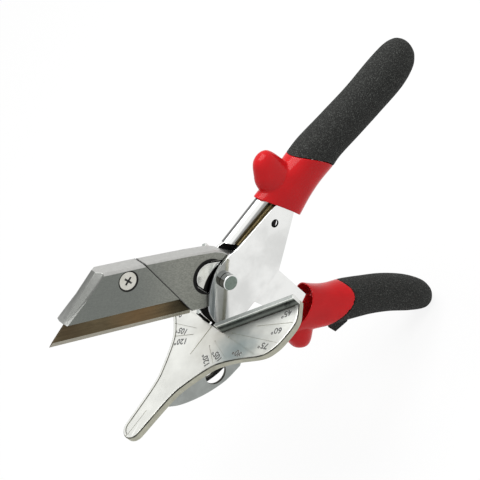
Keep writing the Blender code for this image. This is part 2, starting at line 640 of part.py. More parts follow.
def tail_outline(gap):
    """Outline of the lower channel, blade level, from its round nose to its end in the handle."""
    top, bottom = tail_levels()
    nose = arc((-TAIL_NOSE_FORWARD, TAIL_NOSE_UP), TAIL_NOSE_RADIUS + gap, 212, 82, 9)
    upper = [(0, TAIL_TOP + gap), (TAIL_ELBOW, -TAIL_ELBOW_DROP + gap)]
    neck = [(TAIL_NECK, -TAIL_NECK_DROP + gap), (TAIL_NECK + TAIL_HALF_HEIGHT, top + gap)]
    end = [(TAIL_END + gap, top + gap), (TAIL_END + gap, bottom - gap)]
    lower = [(TAIL_NECK, bottom - gap), (TAIL_ELBOW * TAIL_BACK_SHARE, -TAIL_BACK_DROP - gap), (0, -TAIL_BELLY - gap)]
    return nose + upper + neck + end + lower


def tail_levels():
    """Heights of the lower channel's upper and lower edge inside the handle."""
    centre = -LOWER_CENTRE - SLEEVE_SETTLE
    return centre + TAIL_HALF_HEIGHT, centre - TAIL_HALF_HEIGHT


def make_lower_arm(pivot):
    """The lower channel: two plates joined by a web along the outer edge."""
    tail = plate("lower_channel", tail_outline(0), -TAIL_HALF, TAIL_HALF, STEEL, pivot)
    top, bottom = tail_levels()
    far = TAIL_END + OVERRUN
    near = -TAIL_NOSE_FORWARD - TAIL_NOSE_RADIUS - OVERRUN
    pocket = [(far, bottom + TAIL_WALL), (TAIL_NECK, bottom + TAIL_WALL)]
    pocket += [(TAIL_ELBOW * TAIL_BACK_SHARE, -TAIL_BACK_DROP + TAIL_WALL), (0, -TAIL_BELLY - OVERRUN)]
    pocket += [(near, -TAIL_BELLY - OVERRUN), (near, TAIL_TOP + OVERRUN), (TAIL_NECK, TAIL_TOP + OVERRUN)]
    pocket += [(far, top + OVERRUN)]
    hollow = plate("tail_pocket", pocket, -TAIL_HALF + TAIL_WALL, TAIL_HALF - TAIL_WALL, None, pivot)
    reach = TAIL_HALF + OVERRUN
    bush_hole = BOLT_RADIUS + FIT + BUSH_WALL + FIT
    cuts = [hollow, turned("tail_bush_hole", [(bush_hole, -reach), (bush_hole, reach)], (0, 0), None, pivot)]
    for centre in tail_rivet_places():
        cuts.append(turned("tail_rivet_hole", [(RIVET_RADIUS + FIT, -reach), (RIVET_RADIUS + FIT, reach)], centre,
                           None, pivot, 12))
    cut(tail, *cuts)
    core = [plate("tail_core_cutter", tail_outline(FIT), -TAIL_HALF - FIT, TAIL_HALF + FIT, None, pivot)]
    grip = make_handle("lower", (LOWER_MOUTH, LOWER_SEAM, LOWER_TIP), LOWER_CENTRE, LOWER_SLANTS, LOWER_BULGES,
                       (LOWER_GUARD_HEIGHT, LOWER_GUARD_SHARES), LOWER_GRIP_SHARES, -1, core, pivot)
    low = -LOWER_CENTRE - SLEEVE_SETTLE - GRIP_HALF_HEIGHT
    fin_root = low + FIN_HEIGHT / 2
    fin_end = LOWER_SEAM + FIN_LENGTH
    fin = [(fin_end, fin_root), (fin_end, low - FIT),
           (LOWER_SEAM + FIN_LENGTH * FIN_POINT_SHARE, low - FIN_HEIGHT), (LOWER_SEAM + FIN_ROOT_LEAD, fin_root)]
    add(grip, plate("grip_fin", fin, -FIN_HALF_WIDTH, FIN_HALF_WIDTH, None, pivot))


def tail_rivet_places():
    """Where the rivets cross the carrier's lug and the lower channel."""
    return [(LUG_REACH * x, LUG_REACH * z) for x, z in TAIL_RIVET_SHARES]


def seam_forward(up, gap):
    """How far the seam between carrier and cover lies from the pivot, at a height."""
    share = (up + CARRIER_BOTTOM) / (CARRIER_TOP + CARRIER_BOTTOM)
    return SEAM_BOTTOM + (SEAM_TOP - SEAM_BOTTOM) * share + gap


def nose_forward(up):
    """How far the cover's slanted nose lies from the pivot, at a height."""
    share = (up + COVER_BOTTOM) / (CARRIER_TOP + COVER_BOTTOM)
    return NOSE_LOW_REACH + (NOSE_TOP_REACH - NOSE_LOW_REACH) * share


def make_carrier(pivot):
    """Cast carrier: body, lug between the lower channel's plates, and a tongue behind the blade."""
    body = [(-seam_forward(CARRIER_TOP, 0), CARRIER_TOP)]
    body += [(CARRIER_REAR * x, CARRIER_TOP * z) for x, z in CARRIER_REAR_SHARES]
    body += [(LUG_REACH * x, LUG_REACH * z) for x, z in LUG_HEIGHT_SHARES]
    body += [(0, -TAIL_BELLY + TAIL_WALL), (-CARRIER_HEEL, -CARRIER_BOTTOM), (-SEAM_BOTTOM, -CARRIER_BOTTOM)]
    small = offset(body, [CARRIER_CHAMFER] * (len(body) - 1) + [0])
    levels = ((-CARRIER_HALF, small), (-CARRIER_HALF + CARRIER_CHAMFER, body), (CARRIER_HALF - CARRIER_CHAMFER, body),
              (CARRIER_HALF, small))
    carrier = loft("blade_carrier", [[(x, y, z) for x, z in ring] for y, ring in levels], GREY, pivot)
    recess = tail_outline(RECESS_GAP)
    reach = CARRIER_HALF + OVERRUN
    sides = [plate(f"tail_recess_{side}", recess, side * LUG_HALF, side * reach, None, pivot) for side in (1, -1)]
    hole = BOLT_RADIUS + FIT + BUSH_WALL + FIT
    cuts = sides + [turned("carrier_bush_hole", [(hole, -reach), (hole, reach)], (0, 0), None, pivot)]
    for centre in tail_rivet_places():
        cuts.append(turned("lug_rivet_hole", [(RIVET_RADIUS + FIT, -reach), (RIVET_RADIUS + FIT, reach)], centre,
                           None, pivot, 12))
    cut(carrier, *cuts)
    tongue_left = BLADE_THICK / 2 + FIT
    tongue_right = COVER_INNER - FIT
    roof = CARRIER_TOP - COVER_ROOF - FIT
    tongue = tongue_outline(roof, True)
    add(carrier, plate("tongue", tongue, tongue_left, tongue_right, None, pivot))
    slot = [(-SEAM_TOP, -BLADE_TOP + FIT), (-BLADE_HEEL + FIT, -BLADE_TOP + FIT),
            (-BLADE_HEEL + FIT, -EDGE_DEPTH - FIT), (-SEAM_TOP, -EDGE_DEPTH - FIT)]
    holes = [plate("blade_slot", slot, -tongue_left, tongue_left, None, pivot),
             turned("tongue_screw_hole", [(SCREW_RADIUS + FIT, 0), (SCREW_RADIUS + FIT, reach)],
                    (-SCREW_FORWARD, SCREW_UP), None, pivot)]
    for forward in PIN_FORWARDS:
        holes.append(turned("tongue_pin_hole", [(PIN_RADIUS + FIT, 0), (PIN_RADIUS + FIT, reach)],
                            (-forward, -PIN_DROP), None, pivot, 16))
    cut(carrier, *holes)


def tongue_outline(roof, rooted):
    """The shape inside the cover; a rooted one starts inside the carrier's body."""
    start = -OVERRUN / 2 if rooted else FIT
    low = -COVER_BOTTOM
    front_low = nose_forward(low) - TONGUE_NOSE_WALL
    front_top = nose_forward(roof) - TONGUE_NOSE_WALL
    return [(-seam_forward(roof, start), roof), (-front_top, roof), (-front_low, low), (-seam_forward(low, start), low)]


def make_cover(pivot):
    """Cap that closes over the tongue, open along its lower edge where the blade stands out."""
    top, low = CARRIER_TOP, -COVER_BOTTOM
    mid = low + (top - low) * NOSE_MID_SHARE
    none = (0, 0, 0)
    flat = (NOSE_FLAT_HALF, NOSE_FLAT_HALF, NOSE_FLAT_HALF)
    side = (COVER_HALF, COVER_HALF, COVER_HALF)
    steps = ((COVER_HALF, COVER_CHAMFER, NOSE_INSETS, side),
             (COVER_HALF - COVER_CHAMFER_WIDTH, 0, NOSE_STEP_INSETS, NOSE_HALVES),
             (NOSE_FLAT_HALF, 0, none, flat))
    rings = []
    for half, drop, insets, halves in steps:
        ring = [(-seam_forward(top - drop, FIT), -half, top - drop)]
        for z, inset_by, nose_half in zip((top - drop, mid, low), insets, halves):
            ring.append((-nose_forward(z) + inset_by, -nose_half, z))
        rings.append(ring + [(-seam_forward(low, FIT), -half, low)])
    rings += [[(x, -y, z) for x, y, z in ring] for ring in reversed(rings)]
    cover = loft("blade_cover", rings, GREY, pivot)
    roof = top - COVER_ROOF
    wall = TONGUE_NOSE_WALL - FIT
    hollow = [(-seam_forward(roof, -OVERRUN), roof), (-nose_forward(roof) + wall, roof),
              (-nose_forward(low) + wall, low), (-nose_forward(low) + wall, low - OVERRUN),
              (-seam_forward(low, -OVERRUN * 2), low - OVERRUN)]
    cut(cover, plate("cover_hollow", hollow, -COVER_INNER, COVER_INNER, None, pivot))
    place = (-SCREW_FORWARD, SCREW_UP)
    seat_low = -COVER_HALF + FIT
    seat = [(SCREW_HEAD_RADIUS + FIT, -COVER_HALF - OVERRUN), (SCREW_HEAD_RADIUS + FIT, seat_low),
            (SCREW_RADIUS + FIT, seat_low + SCREW_HEAD_DEPTH + FIT), (SCREW_RADIUS + FIT, COVER_HALF + OVERRUN)]
    cut(cover, turned("cover_screw_way", seat, place, None, pivot))


def make_blade(pivot):
    """Trapezoid blade, ground to an edge along its lower side, with holes for two pins."""
    edge, top = -EDGE_DEPTH, -BLADE_TOP
    tip = BLADE_HEEL + BLADE_LENGTH
    run = BLADE_END_RUN
    shoulder = edge + BLADE_BEVEL
    slope = run / BLADE_WIDTH
    half = BLADE_THICK / 2
    thin = EDGE_FLAT / 2
    rows = [(edge, thin), (shoulder, half), (top, half)]
    rings = []
    for z, y in rows:
        front = -(tip - (z - edge) * slope)
        rings.append([(-BLADE_HEEL, -y, z), (-BLADE_HEEL, y, z), (front, y, z), (front, -y, z)])
    blade = loft("blade", rings, EDGE_STEEL, pivot)
    reach = half + OVERRUN
    holes = [turned("blade_pin_hole", [(PIN_RADIUS + FIT, -reach), (PIN_RADIUS + FIT, reach)], (-f, -PIN_DROP),
                    None, pivot, 16) for f in PIN_FORWARDS]
    cut(blade, *holes)


def make_clamp(pivot):
    """Pressure plate, dowel pins, countersunk screw and nut that hold the blade to the tongue."""
    left, right = -(COVER_INNER - FIT), -(BLADE_THICK / 2 + FIT)
    clamp = plate("clamp_plate", tongue_outline(CARRIER_TOP - COVER_ROOF - FIT, False), left, right, STEEL, pivot)
    place = (-SCREW_FORWARD, SCREW_UP)
    reach = COVER_HALF + OVERRUN
    holes = [turned("clamp_screw_hole", [(SCREW_RADIUS + FIT, -reach), (SCREW_RADIUS + FIT, reach)], place,
                    None, pivot)]
    for forward in PIN_FORWARDS:
        holes.append(turned("clamp_pin_hole", [(PIN_RADIUS + FIT, -reach), (PIN_RADIUS + FIT, reach)],
                            (-forward, -PIN_DROP), None, pivot, 16))
    cut(clamp, *holes)
    for name, forward in zip(("rear_blade_pin", "front_blade_pin"), PIN_FORWARDS):
        turned(name, [(PIN_RADIUS, left), (PIN_RADIUS, -left)], (-forward, -PIN_DROP), SCREW_STEEL, pivot, 16)
    screw_end = COVER_HALF + NUT_THICK + FIT * 3
    profile = [(SCREW_HEAD_RADIUS, -COVER_HALF + FIT), (SCREW_RADIUS, -COVER_HALF + SCREW_HEAD_DEPTH + FIT),
               (SCREW_RADIUS, screw_end)]
    turned("clamp_screw", profile, place, SCREW_STEEL, pivot)
    nut = hexagon("clamp_nut", place, NUT_HALF_FLATS, COVER_HALF + FIT, COVER_HALF + FIT + NUT_THICK, pivot)
    cut(nut, turned("clamp_nut_hole", [(SCREW_RADIUS + FIT, 0), (SCREW_RADIUS + FIT, reach)], place, None, pivot))


def hexagon(name, centre, half_flats, left, right, parent=None):
    """A hexagonal block with its axis along Y."""
    radius = half_flats / math.cos(math.pi / 6)
    return turned(name, [(radius, left), (radius, right)], centre, SCREW_STEEL, parent, 6)


def make_pivot(pivot):
    """Bolt, washer and nut on the fixed arm, and the bush that turns with the blade arm."""
    place = (PIVOT_BACK, PIVOT_HEIGHT)
    head_in = CHEEK_OUTER + FIT
    head_out = head_in + BOLT_HEAD_HEIGHT
    washer_out = head_in + WASHER_THICK
    nut_in = washer_out + FIT
    nut_out = nut_in + PIVOT_NUT_THICK
    profile = [(BOLT_HEAD_RADIUS - BOLT_CHAMFER, -head_out), (BOLT_HEAD_RADIUS, -head_out + BOLT_CHAMFER),
               (BOLT_HEAD_RADIUS, -head_in), (BOLT_RADIUS, -head_in), (BOLT_RADIUS, nut_out + BOLT_CHAMFER)]
    turned("pivot_bolt", profile, place, STEEL)
    hole = BOLT_RADIUS + FIT
    reach = nut_out + OVERRUN
    way = turned("pivot_way", [(hole, -reach), (hole, reach)], place)
    cut(turned("pivot_washer", [(WASHER_RADIUS, head_in), (WASHER_RADIUS, washer_out)], place, STEEL), way)
    nut = hexagon("pivot_nut", place, PIVOT_NUT_HALF_FLATS, nut_in, nut_out)
    cut(nut, way)
    bush = turned("pivot_bush", [(hole + BUSH_WALL, -CARRIER_HALF), (hole + BUSH_WALL, CARRIER_HALF)], (0, 0),
                  BRONZE, pivot)
    cut(bush, turned("bush_way", [(hole, -reach), (hole, reach)], (0, 0), None, pivot))


def rivets(name, places, half):
    """Rivets along Y with a domed head at each end."""
    head_in = half + FIT
    head_out = head_in + RIVET_HEAD_HEIGHT
    profile = [(RIVET_HEAD_RADIUS / 2, -head_out), (RIVET_HEAD_RADIUS, -head_in), (RIVET_RADIUS, -head_in),
               (RIVET_RADIUS, head_in), (RIVET_HEAD_RADIUS, head_in), (RIVET_HEAD_RADIUS / 2, head_out)]
    for index, centre in enumerate(places):
        turned(f"{name}_{index + 1}", profile, centre, SCREW_STEEL, steps=16)


def main():
    """Builds the fixed arm, then the blade arm on its pivot."""
    clear_scene()
    make_table()
    make_cheeks()
    make_handle_channel()
    make_slot_strips()
    make_upper_handle()
    pivot = bpy.data.objects.new("blade_arm_pivot", None)
    bpy.context.scene.collection.objects.link(pivot)
    pivot.location = (PIVOT_BACK, 0, PIVOT_HEIGHT)
    pivot.rotation_euler = (0, OPEN_ANGLE, 0)
    make_carrier(pivot)
    make_cover(pivot)
    make_blade(pivot)
    make_clamp(pivot)
    make_lower_arm(pivot)
    make_pivot(pivot)
    rivets("table_rivet", table_rivet_places(), CHEEK_OUTER)
    for index, centre in enumerate(tail_rivet_places()):
        flush = [(RIVET_RADIUS, -TAIL_HALF), (RIVET_RADIUS, TAIL_HALF)]
        turned(f"tail_rivet_{index + 1}", flush, centre, SCREW_STEEL, pivot, 16)


main()
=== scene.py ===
"""Molding cutter: the finished look of every piece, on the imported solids.

Frame: the origin is the apex of the angle scale on the table's face, +X runs to the handles, +Z is
square to the table and the pivot axis runs along Y. Lengths are metres. Pieces of the blade arm are
worked out closed, round the pivot, and turned open by the hinge's range.
"""
import json
import math

import bmesh
import bpy
import numpy as np
from bpy.props import FloatProperty, FloatVectorProperty, IntProperty, PointerProperty
from mathutils import Matrix, Vector


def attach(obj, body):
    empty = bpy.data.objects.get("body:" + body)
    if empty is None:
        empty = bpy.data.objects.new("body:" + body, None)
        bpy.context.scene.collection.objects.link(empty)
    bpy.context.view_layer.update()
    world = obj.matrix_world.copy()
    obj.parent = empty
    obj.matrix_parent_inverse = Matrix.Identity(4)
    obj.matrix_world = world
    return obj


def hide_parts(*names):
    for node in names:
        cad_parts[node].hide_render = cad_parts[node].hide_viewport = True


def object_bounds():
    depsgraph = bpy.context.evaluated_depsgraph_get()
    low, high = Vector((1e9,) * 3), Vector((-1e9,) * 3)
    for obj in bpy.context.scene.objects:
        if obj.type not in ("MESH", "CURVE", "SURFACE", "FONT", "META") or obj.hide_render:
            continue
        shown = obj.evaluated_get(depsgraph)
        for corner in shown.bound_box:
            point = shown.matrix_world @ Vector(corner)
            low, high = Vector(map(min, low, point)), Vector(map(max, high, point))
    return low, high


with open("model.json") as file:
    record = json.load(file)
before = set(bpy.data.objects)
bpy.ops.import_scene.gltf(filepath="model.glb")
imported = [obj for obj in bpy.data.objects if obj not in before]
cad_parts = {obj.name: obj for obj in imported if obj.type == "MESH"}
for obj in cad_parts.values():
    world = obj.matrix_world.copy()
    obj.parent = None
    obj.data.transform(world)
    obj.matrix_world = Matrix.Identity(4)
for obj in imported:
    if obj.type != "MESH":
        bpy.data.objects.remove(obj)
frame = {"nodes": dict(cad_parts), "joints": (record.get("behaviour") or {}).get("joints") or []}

bl_info = {
    "name": "Molding cutter looks",
    "version": (1, 0, 0),
    "blender": (4, 5, 0),
    "location": "View3D > Sidebar > Cutter",
    "description": "Finished surfaces, materials, light and camera of a molding cutter",
    "category": "Object",
}

MM = 0.001
PIVOT = np.array(frame["joints"][0]["pos_m"], float)
OPEN = math.radians(frame["joints"][0]["range_deg"][1])
CAD_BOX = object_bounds()
ARM, ANVIL = "blade_arm", "anvil_arm"

# Sizes that the solids were built with, repeated so that the finished surfaces lie on them. Tables that
# aren't multiplied by MM hold millimetres or shares.
NOSE_REACH, NOSE_RADIUS = 73.0 * MM, 6.6 * MM
FENCE_OFFSET, FENCE_START, FENCE_REACH = 7.6 * MM, 10.0 * MM, 37.0 * MM
FENCE_HEIGHT, FENCE_THICK = 6.2 * MM, 2.8 * MM
TABLE_THICK, RIM_HEIGHT = 4.0 * MM, 0.4 * MM
SLOT_FRONT, SLOT_HALF = 2.4 * MM, 7.5 * MM
# Points of the fan's edge, from the nose back and from the wing's tip back
FRONT_EDGE = ((-41.975, 8.858), (-30.66, 12.5145), (-17.009, 19.5185), (-10.512, 25.4925), (-4.526, 33.475))
SIDE_EDGE = ((2.22, 43.981), (7.4, 48.6675), (15.54, 51.2425), (28.12, 50.985))
KEEL_FRONT, KEEL_BACK, KEEL_DEPTH = 48.0 * MM, 9.0 * MM, 25.0 * MM
KEEL_INNER, KEEL_OUTER = 3.6 * MM, 5.3 * MM
# The keel's lower edge: shares of its length ahead of the apex and of its depth
KEEL_EDGE = ((0.86, 0.34), (0.62, 0.68), (0.35, 0.92), (0.1, 1.0))
KEEL_HOLE, KEEL_HOLE_RADIUS = np.array((-16.32, -18.0)) * MM, 6.6 * MM
TABLE_RIVETS = np.array(((-6.82, -10.12), (1.32, -11.14), (-1.1, -17.6))) * MM
TAIL_RIVETS = np.array(((15.5, -1.25), (21.5, -6.5))) * MM
RIVET_WAY = 1.9 * MM
EDGE_ROUND, FENCE_ROUND, WEB_ROUND = 0.75 * MM, 0.45 * MM, 0.3 * MM
CHANNEL_RADIUS, CHANNEL_INNER = 3.8 * MM, 2.6 * MM
# Sections of the handle channel: X, lower edge, crown, and how far the lower edge leans back
CHANNEL_SECTIONS = ((39.6, 24.4, 30.2, 2.4), (48.6, 22.4, 30.2, 0), (65.2, 17.9, 30.2, 0), (76.2, 9.8, 30.2, 0),
                    (87.2, 9.8, 22.5, 0), (139.8, 9.8, 22.5, 0))
SLEEVE_HALF = (14.4 * MM, 9.4 * MM)
GRIP_HALF = (12.3 * MM, 11.3 * MM)
SETTLE, SEAM_GAP, MOUTH_WALL = 1.6 * MM, 0.4 * MM, 0.9 * MM
# Along a sleeve: shares of its length, its settling, and its change from sleeve to grip height and width
SLEEVE_SHARES = ((0, 0, 0, 0), (0.35, 0.7, 0.7, 0.15), (0.65, 1.05, 1, 0.45), (1, 1, 1, 1))
GUARD_SINK, GUARD_HALF_WIDTH = 3.4 * MM, 6.6 * MM
# Up a thumb guard: share of its height, lead towards the handle, and shares of its length and width
GUARD_SHARES = ((0, 0, 1, 1), (0.4, 0.02, 0.9, 0.95), (0.62, 0.1, 0.76, 0.88), (0.8, 0.16, 0.62, 0.76),
                (0.92, 0.19, 0.47, 0.58), (0.985, 0.2, 0.27, 0.33), (1, 0.2, 0.1, 0.12))
# Handles: X of mouth, seam and tip; the middle's height; slants and bulges at mouth and seam; the guard's
# height, setback from the seam and half length; then along the grip its shares of length, shift and size
UPPER = {"span": (73.8, 104.6, 190.6), "centre": 16.9, "slants": (5.0, 6.1), "bulges": (1.0, 2.5),
         "guard": (18.9, 20.8, 11.0), "out": 1, "body": ANVIL,
         "shares": ((0, 0, 1), (0.1, 0.02, 0.99), (0.3, -0.13, 0.96), (0.52, -0.28, 0.95), (0.75, -0.36, 0.97),
                    (0.89, -0.33, 0.86), (0.96, -0.28, 0.64), (0.99, -0.25, 0.38), (1, -0.24, 0.14))}
LOWER = {"span": (49.5, 73.3, 150.6), "centre": 31.2, "slants": (8.0, 9.0), "bulges": (4.0, 10.0),
         "guard": (13.2, 19.8, 10.0), "out": -1, "body": ARM,
         "shares": ((0, 0, 1), (0.12, 0, 0.98), (0.35, 0.04, 0.94), (0.55, 0.18, 0.93), (0.75, 0.46, 0.9),
                    (0.9, 0.72, 0.76), (0.965, 0.84, 0.55), (0.99, 0.88, 0.36), (1, 0.9, 0.14))}
# The fin under the lower grip: X, and the height above the grip's lower side
GRIP_FIN = ((86.3, 2.5), (86.3, -0.4), (77.85, -5.0), (75.9, 2.5))
SCREW = np.array((-58.2, 11.5)) * MM
COVER_HALF = 5.8 * MM
SEAM = np.array(((-48.5, 18.6), (-19.6, -14.4))) * MM
RECESS, RECESS_RADIUS = np.array((-9.5, 3.4)) * MM, 10.0 * MM

# Scale marks: angle, where the line starts and ends along its own direction and how far it lies off
# to the nose's side, then the label's middle, along that direction and off to the same side
MARKS = ((60, 33.0, 56.2, 1.2, 46.8, 5.1), (75, 17.0, 51.0, -0.5, 42.8, 2.4), (90, 16.0, 41.3, -1.9, 29.6, 2.0),
         (105, 9.7, 27.5, 1.0, 20.0, 4.2), (120, 10.6, 24.2, 2.2, 18.6, 5.9))
LAST_LABEL = (29.2, 41.1)

# Painted reflections: shares of the way across a face, each with its share of the colour
FENCE_BANDS = ((0.0, 0.03), (0.08, 0.05), (0.2, 0.5), (0.36, 0.62), (0.5, 0.16), (0.66, 0.05), (0.76, 0.12),
               (0.86, 1.3), (1.0, 2.0))
CHANNEL_BANDS = ((0.0, 0.35), (0.012, 0.5), (0.025, 1.1), (0.04, 1.25), (0.32, 1.25), (0.36, 0.5), (0.39, 0.12),
                 (0.62, 0.1), (0.74, 0.6), (0.85, 0.8))
# Painted reflections on the cheeks, dark strips: the ends of the middle line, half the width, and the colour
CHEEK_REFLECTIONS = (((8.6, 3.0), (29.3, 28.0), 3.4, (0.26, 0.275, 0.27)),
                ((1.9, 8.5), (22.6, 33.5), 4.6, (0.11, 0.13, 0.15)))
# Patches laid over the blade's colour: share of the way along its edge, reach in millimetres, weight and colour
BLADE_SPOTS = ((0.62, 22, 0.6, (0.17, 0.10, 0.045)), (0.97, 17, 0.9, (0.03, 0.024, 0.016)),
               (0.12, 15, 0.6, (0.055, 0.038, 0.022)))
BLACK = (0.008, 0.008, 0.008)
# How much of the floor that the eye sees is plain white
FLOOR_GLOW = 0.88

# The fitted view: azimuth, elevation and roll in degrees, distance, pixels to the millimetre, the
# side of the square picture in pixels, and where the origin falls in it
VIEW_ANGLES, VIEW_DISTANCE, VIEW_SCALE = (-9.013, 38.145, -46.224), 0.708724, 1.85
VIEW_PIXELS, VIEW_ORIGIN = 480, (209.708, 329.335)


class TableLook(bpy.types.PropertyGroup):
    """Scale table: rim, engraving and casting colour."""
    rim_width: FloatProperty(name="Rim width", description="Width of the raised rim round the scale face",
                             default=1.7 * MM, unit="LENGTH")
    line_width: FloatProperty(name="Line width", description="Width of an engraved scale line",
                              default=0.52 * MM, unit="LENGTH")
    engraving: FloatProperty(name="Engraving depth", description="How deep the lines are cut",
                             default=0.28 * MM, unit="LENGTH")
    figure_size: FloatProperty(name="Figure size", description="Type size of the angle figures",
                               default=4.9 * MM, unit="LENGTH")
    figure_weight: FloatProperty(name="Figure weight", description="How much the figures' strokes are widened",
                                 default=0.14 * MM, unit="LENGTH")
    colour: FloatVectorProperty(name="Casting", description="Colour of the satin casting", subtype="COLOR",
                                default=(0.66, 0.665, 0.63))
    side_colour: FloatVectorProperty(name="Cast side", description="Colour of the table's unground side wall",
                                     subtype="COLOR", default=(0.46, 0.455, 0.37))
    keel_colour: FloatVectorProperty(name="Keel", description="Colour of the keel's webs", subtype="COLOR",
                                     default=(0.34, 0.36, 0.345))
    fence_colour: FloatVectorProperty(name="Fence face", description="Colour of the fences' ground faces",
                                      subtype="COLOR", default=(0.30, 0.33, 0.31))


class HandleLook(bpy.types.PropertyGroup):
    """Sleeves and grips."""
    vinyl: FloatVectorProperty(name="Vinyl", description="Colour of the dipped sleeves", subtype="COLOR",
                               default=(0.55, 0.008, 0.011))
    foam: FloatVectorProperty(name="Foam", description="Colour of the foam grips", subtype="COLOR",
                              default=(0.027, 0.028, 0.026))
    voxel: FloatProperty(name="Sleeve grid", description="Mesh size of the dipped sleeves", default=0.36 * MM,
                         unit="LENGTH")
    rounding: IntProperty(name="Sleeve rounding", description="Passes that round the sleeves' edges", default=8)


class MetalLook(bpy.types.PropertyGroup):
    """Plates, castings, blade and fasteners."""
    chrome: FloatVectorProperty(name="Chrome", description="Colour of the chromed plates", subtype="COLOR",
                                default=(0.78, 0.785, 0.77))
    casting: FloatVectorProperty(name="Grey casting", description="Colour of carrier and cover", subtype="COLOR",
                                 default=(0.275, 0.28, 0.25))
    blade: FloatVectorProperty(name="Blade", description="Colour of the tinted blade", subtype="COLOR",
                               default=(0.105, 0.082, 0.048))
    edge: FloatProperty(name="Edge rounding", description="Rounding of the plates' edges", default=0.22 * MM,
                        unit="LENGTH")


class StageLook(bpy.types.PropertyGroup):
    """Floor and light."""
    key: FloatProperty(name="Key light", description="Power of the overhead soft box", default=16.0,
                       unit="POWER")
    fill: FloatProperty(name="Surroundings", description="Strength of the pale surroundings", default=0.42)
    floor: FloatVectorProperty(name="Floor", description="Colour of the floor", subtype="COLOR",
                               default=(0.92, 0.92, 0.92))


def curve(points, steps):
    """A Catmull-Rom curve: each span is a cubic in t through its two points, whose slopes are half the
    chord between the points on either side."""
    p = np.asarray(points, float)
    k = np.vstack([2 * p[0] - p[1], p, 2 * p[-1] - p[-2]])
    t = (np.arange(steps) / steps)[None, :, None]
    a, b, c, d = (k[i:len(k) - 3 + i][:, None, :] for i in range(4))
    q = 0.5 * (2 * b + (c - a) * t + (2 * a - 5 * b + 4 * c - d) * t ** 2 + (3 * b - a - 3 * c + d) * t ** 3)
    return np.vstack([q.reshape(-1, p.shape[1]), p[-1:]])


def arc(centre, radius, start, end, steps):
    """Points on a circle: centre plus radius times cosine and sine, from start to end in degrees."""
    angle = np.radians(np.linspace(start, end, steps + 1))
    return np.stack([centre[0] + radius * np.cos(angle), centre[1] + radius * np.sin(angle)], 1)


def round_angles(steps):
    """The angles of a full circle in equal steps, the first one not repeated."""
    return 2 * math.pi * np.arange(steps) / steps


def unit(vectors):
    """Vectors made one long."""
    return vectors / np.linalg.norm(vectors, axis=-1, keepdims=True)


def shrink(outline, distance):
    """Moves a closed outline inwards: each point goes along the sum of its two edges' inward normals,
    divided by one plus their dot product, times the distance."""
    p = np.asarray(outline, float)
    last = np.roll(p, 1, 0)
    back, ahead = unit(p - last), unit(np.roll(p, -1, 0) - p)
    turn = np.sign(np.sum(last[:, 0] * p[:, 1] - p[:, 0] * last[:, 1]))
    first, second = (turn * np.stack([-way[:, 1], way[:, 0]], 1) for way in (back, ahead))
    reach = np.maximum(1 + np.sum(first * second, 1, keepdims=True), 0.35)
    return p + (first + second) / reach * distance


def flat(points):
    """Points (x, z) of the side view as places on the Y 0 plane."""
    return np.insert(np.asarray(points, float), 1, 0.0, axis=-1)


def opened(points):
    """Turns points of the closed blade arm about the pivot's Y axis by the opening angle."""
    x, y, z = np.moveaxis(np.asarray(points, float), -1, 0)
    c, s = math.cos(OPEN), math.sin(OPEN)
    return np.stack([PIVOT[0] + x * c + z * s, PIVOT[1] + y, PIVOT[2] - x * s + z * c], -1)


def closed(vectors, place=True):
    """Turns points, or with place off directions, back to the closed blade arm."""
    x, y, z = (np.asarray(vectors, float) - (PIVOT if place else 0)).T
    c, s = math.cos(OPEN), math.sin(OPEN)
    return np.stack([x * c - z * s, y, x * s + z * c], 1)


def grid_faces(rows, columns):
    """Quads of a grid of rows, each row a closed ring of columns."""
    r = np.arange(rows - 1)[:, None] * columns
    c = np.arange(columns)[None, :]
    n = (c + 1) % columns
    return np.stack([r + c, r + n, r + columns + n, r + columns + c], -1).reshape(-1, 4)


def linked(name, data):
    """A new object of the scene."""
    thing = bpy.data.objects.new(name, data)
    bpy.context.scene.collection.objects.link(thing)
    return thing


def rough(name, points, faces):
    """A plain mesh object with its faces turned outwards."""
    mesh = bpy.data.meshes.new(name)
    mesh.from_pydata(np.asarray(points, float).tolist(), [], faces)
    work = bmesh.new()
    work.from_mesh(mesh)
    bmesh.ops.remove_doubles(work, verts=work.verts, dist=1e-7)
    bmesh.ops.recalc_face_normals(work, faces=work.faces)
    work.to_mesh(mesh)
    work.free()
    return linked(name, mesh)


def lofted(name, rings, fans=False):
    """Joins an array of closed rings (rows, columns, 3) and closes each end with a flat face, or with a
    fan to the ring's middle."""
    rings = np.asarray(rings, float)
    rows, columns = rings.shape[:2]
    points, faces = rings.reshape(-1, 3), grid_faces(rows, columns).tolist()
    count = len(points)
    first, last = np.arange(columns), np.arange(count - columns, count)
    if fans:
        points = np.vstack([points, rings[[0, -1]].mean(1)])
        faces += np.stack([np.roll(first, -1), first, np.full(columns, count)], 1).tolist()
        faces += np.stack([last, np.roll(last, -1), np.full(columns, count + 1)], 1).tolist()
    else:
        faces += [first.tolist(), last.tolist()]
    return rough(name, points, faces)


def prism(name, outline, levels, upright=True, turn=False):
    """An outline carried along Z (upright) or Y: each level is the outline moved inwards by an inset."""
    rings = [np.insert(shrink(outline, inset), 2 if upright else 1, height, axis=1) for inset, height in levels]
    return lofted(name, opened(rings) if turn else rings)


def rounded(low, high, radius):
    """Levels of a plate with rounded edges: a quarter circle in four steps at each face."""
    angle = np.radians(np.array([0, 22.5, 45, 67.5, 90]))
    inset = radius * (1 - np.sin(angle))
    rise = radius * (1 - np.cos(angle))
    return list(zip(inset, low + rise)) + list(zip(inset[::-1], high - rise[::-1]))


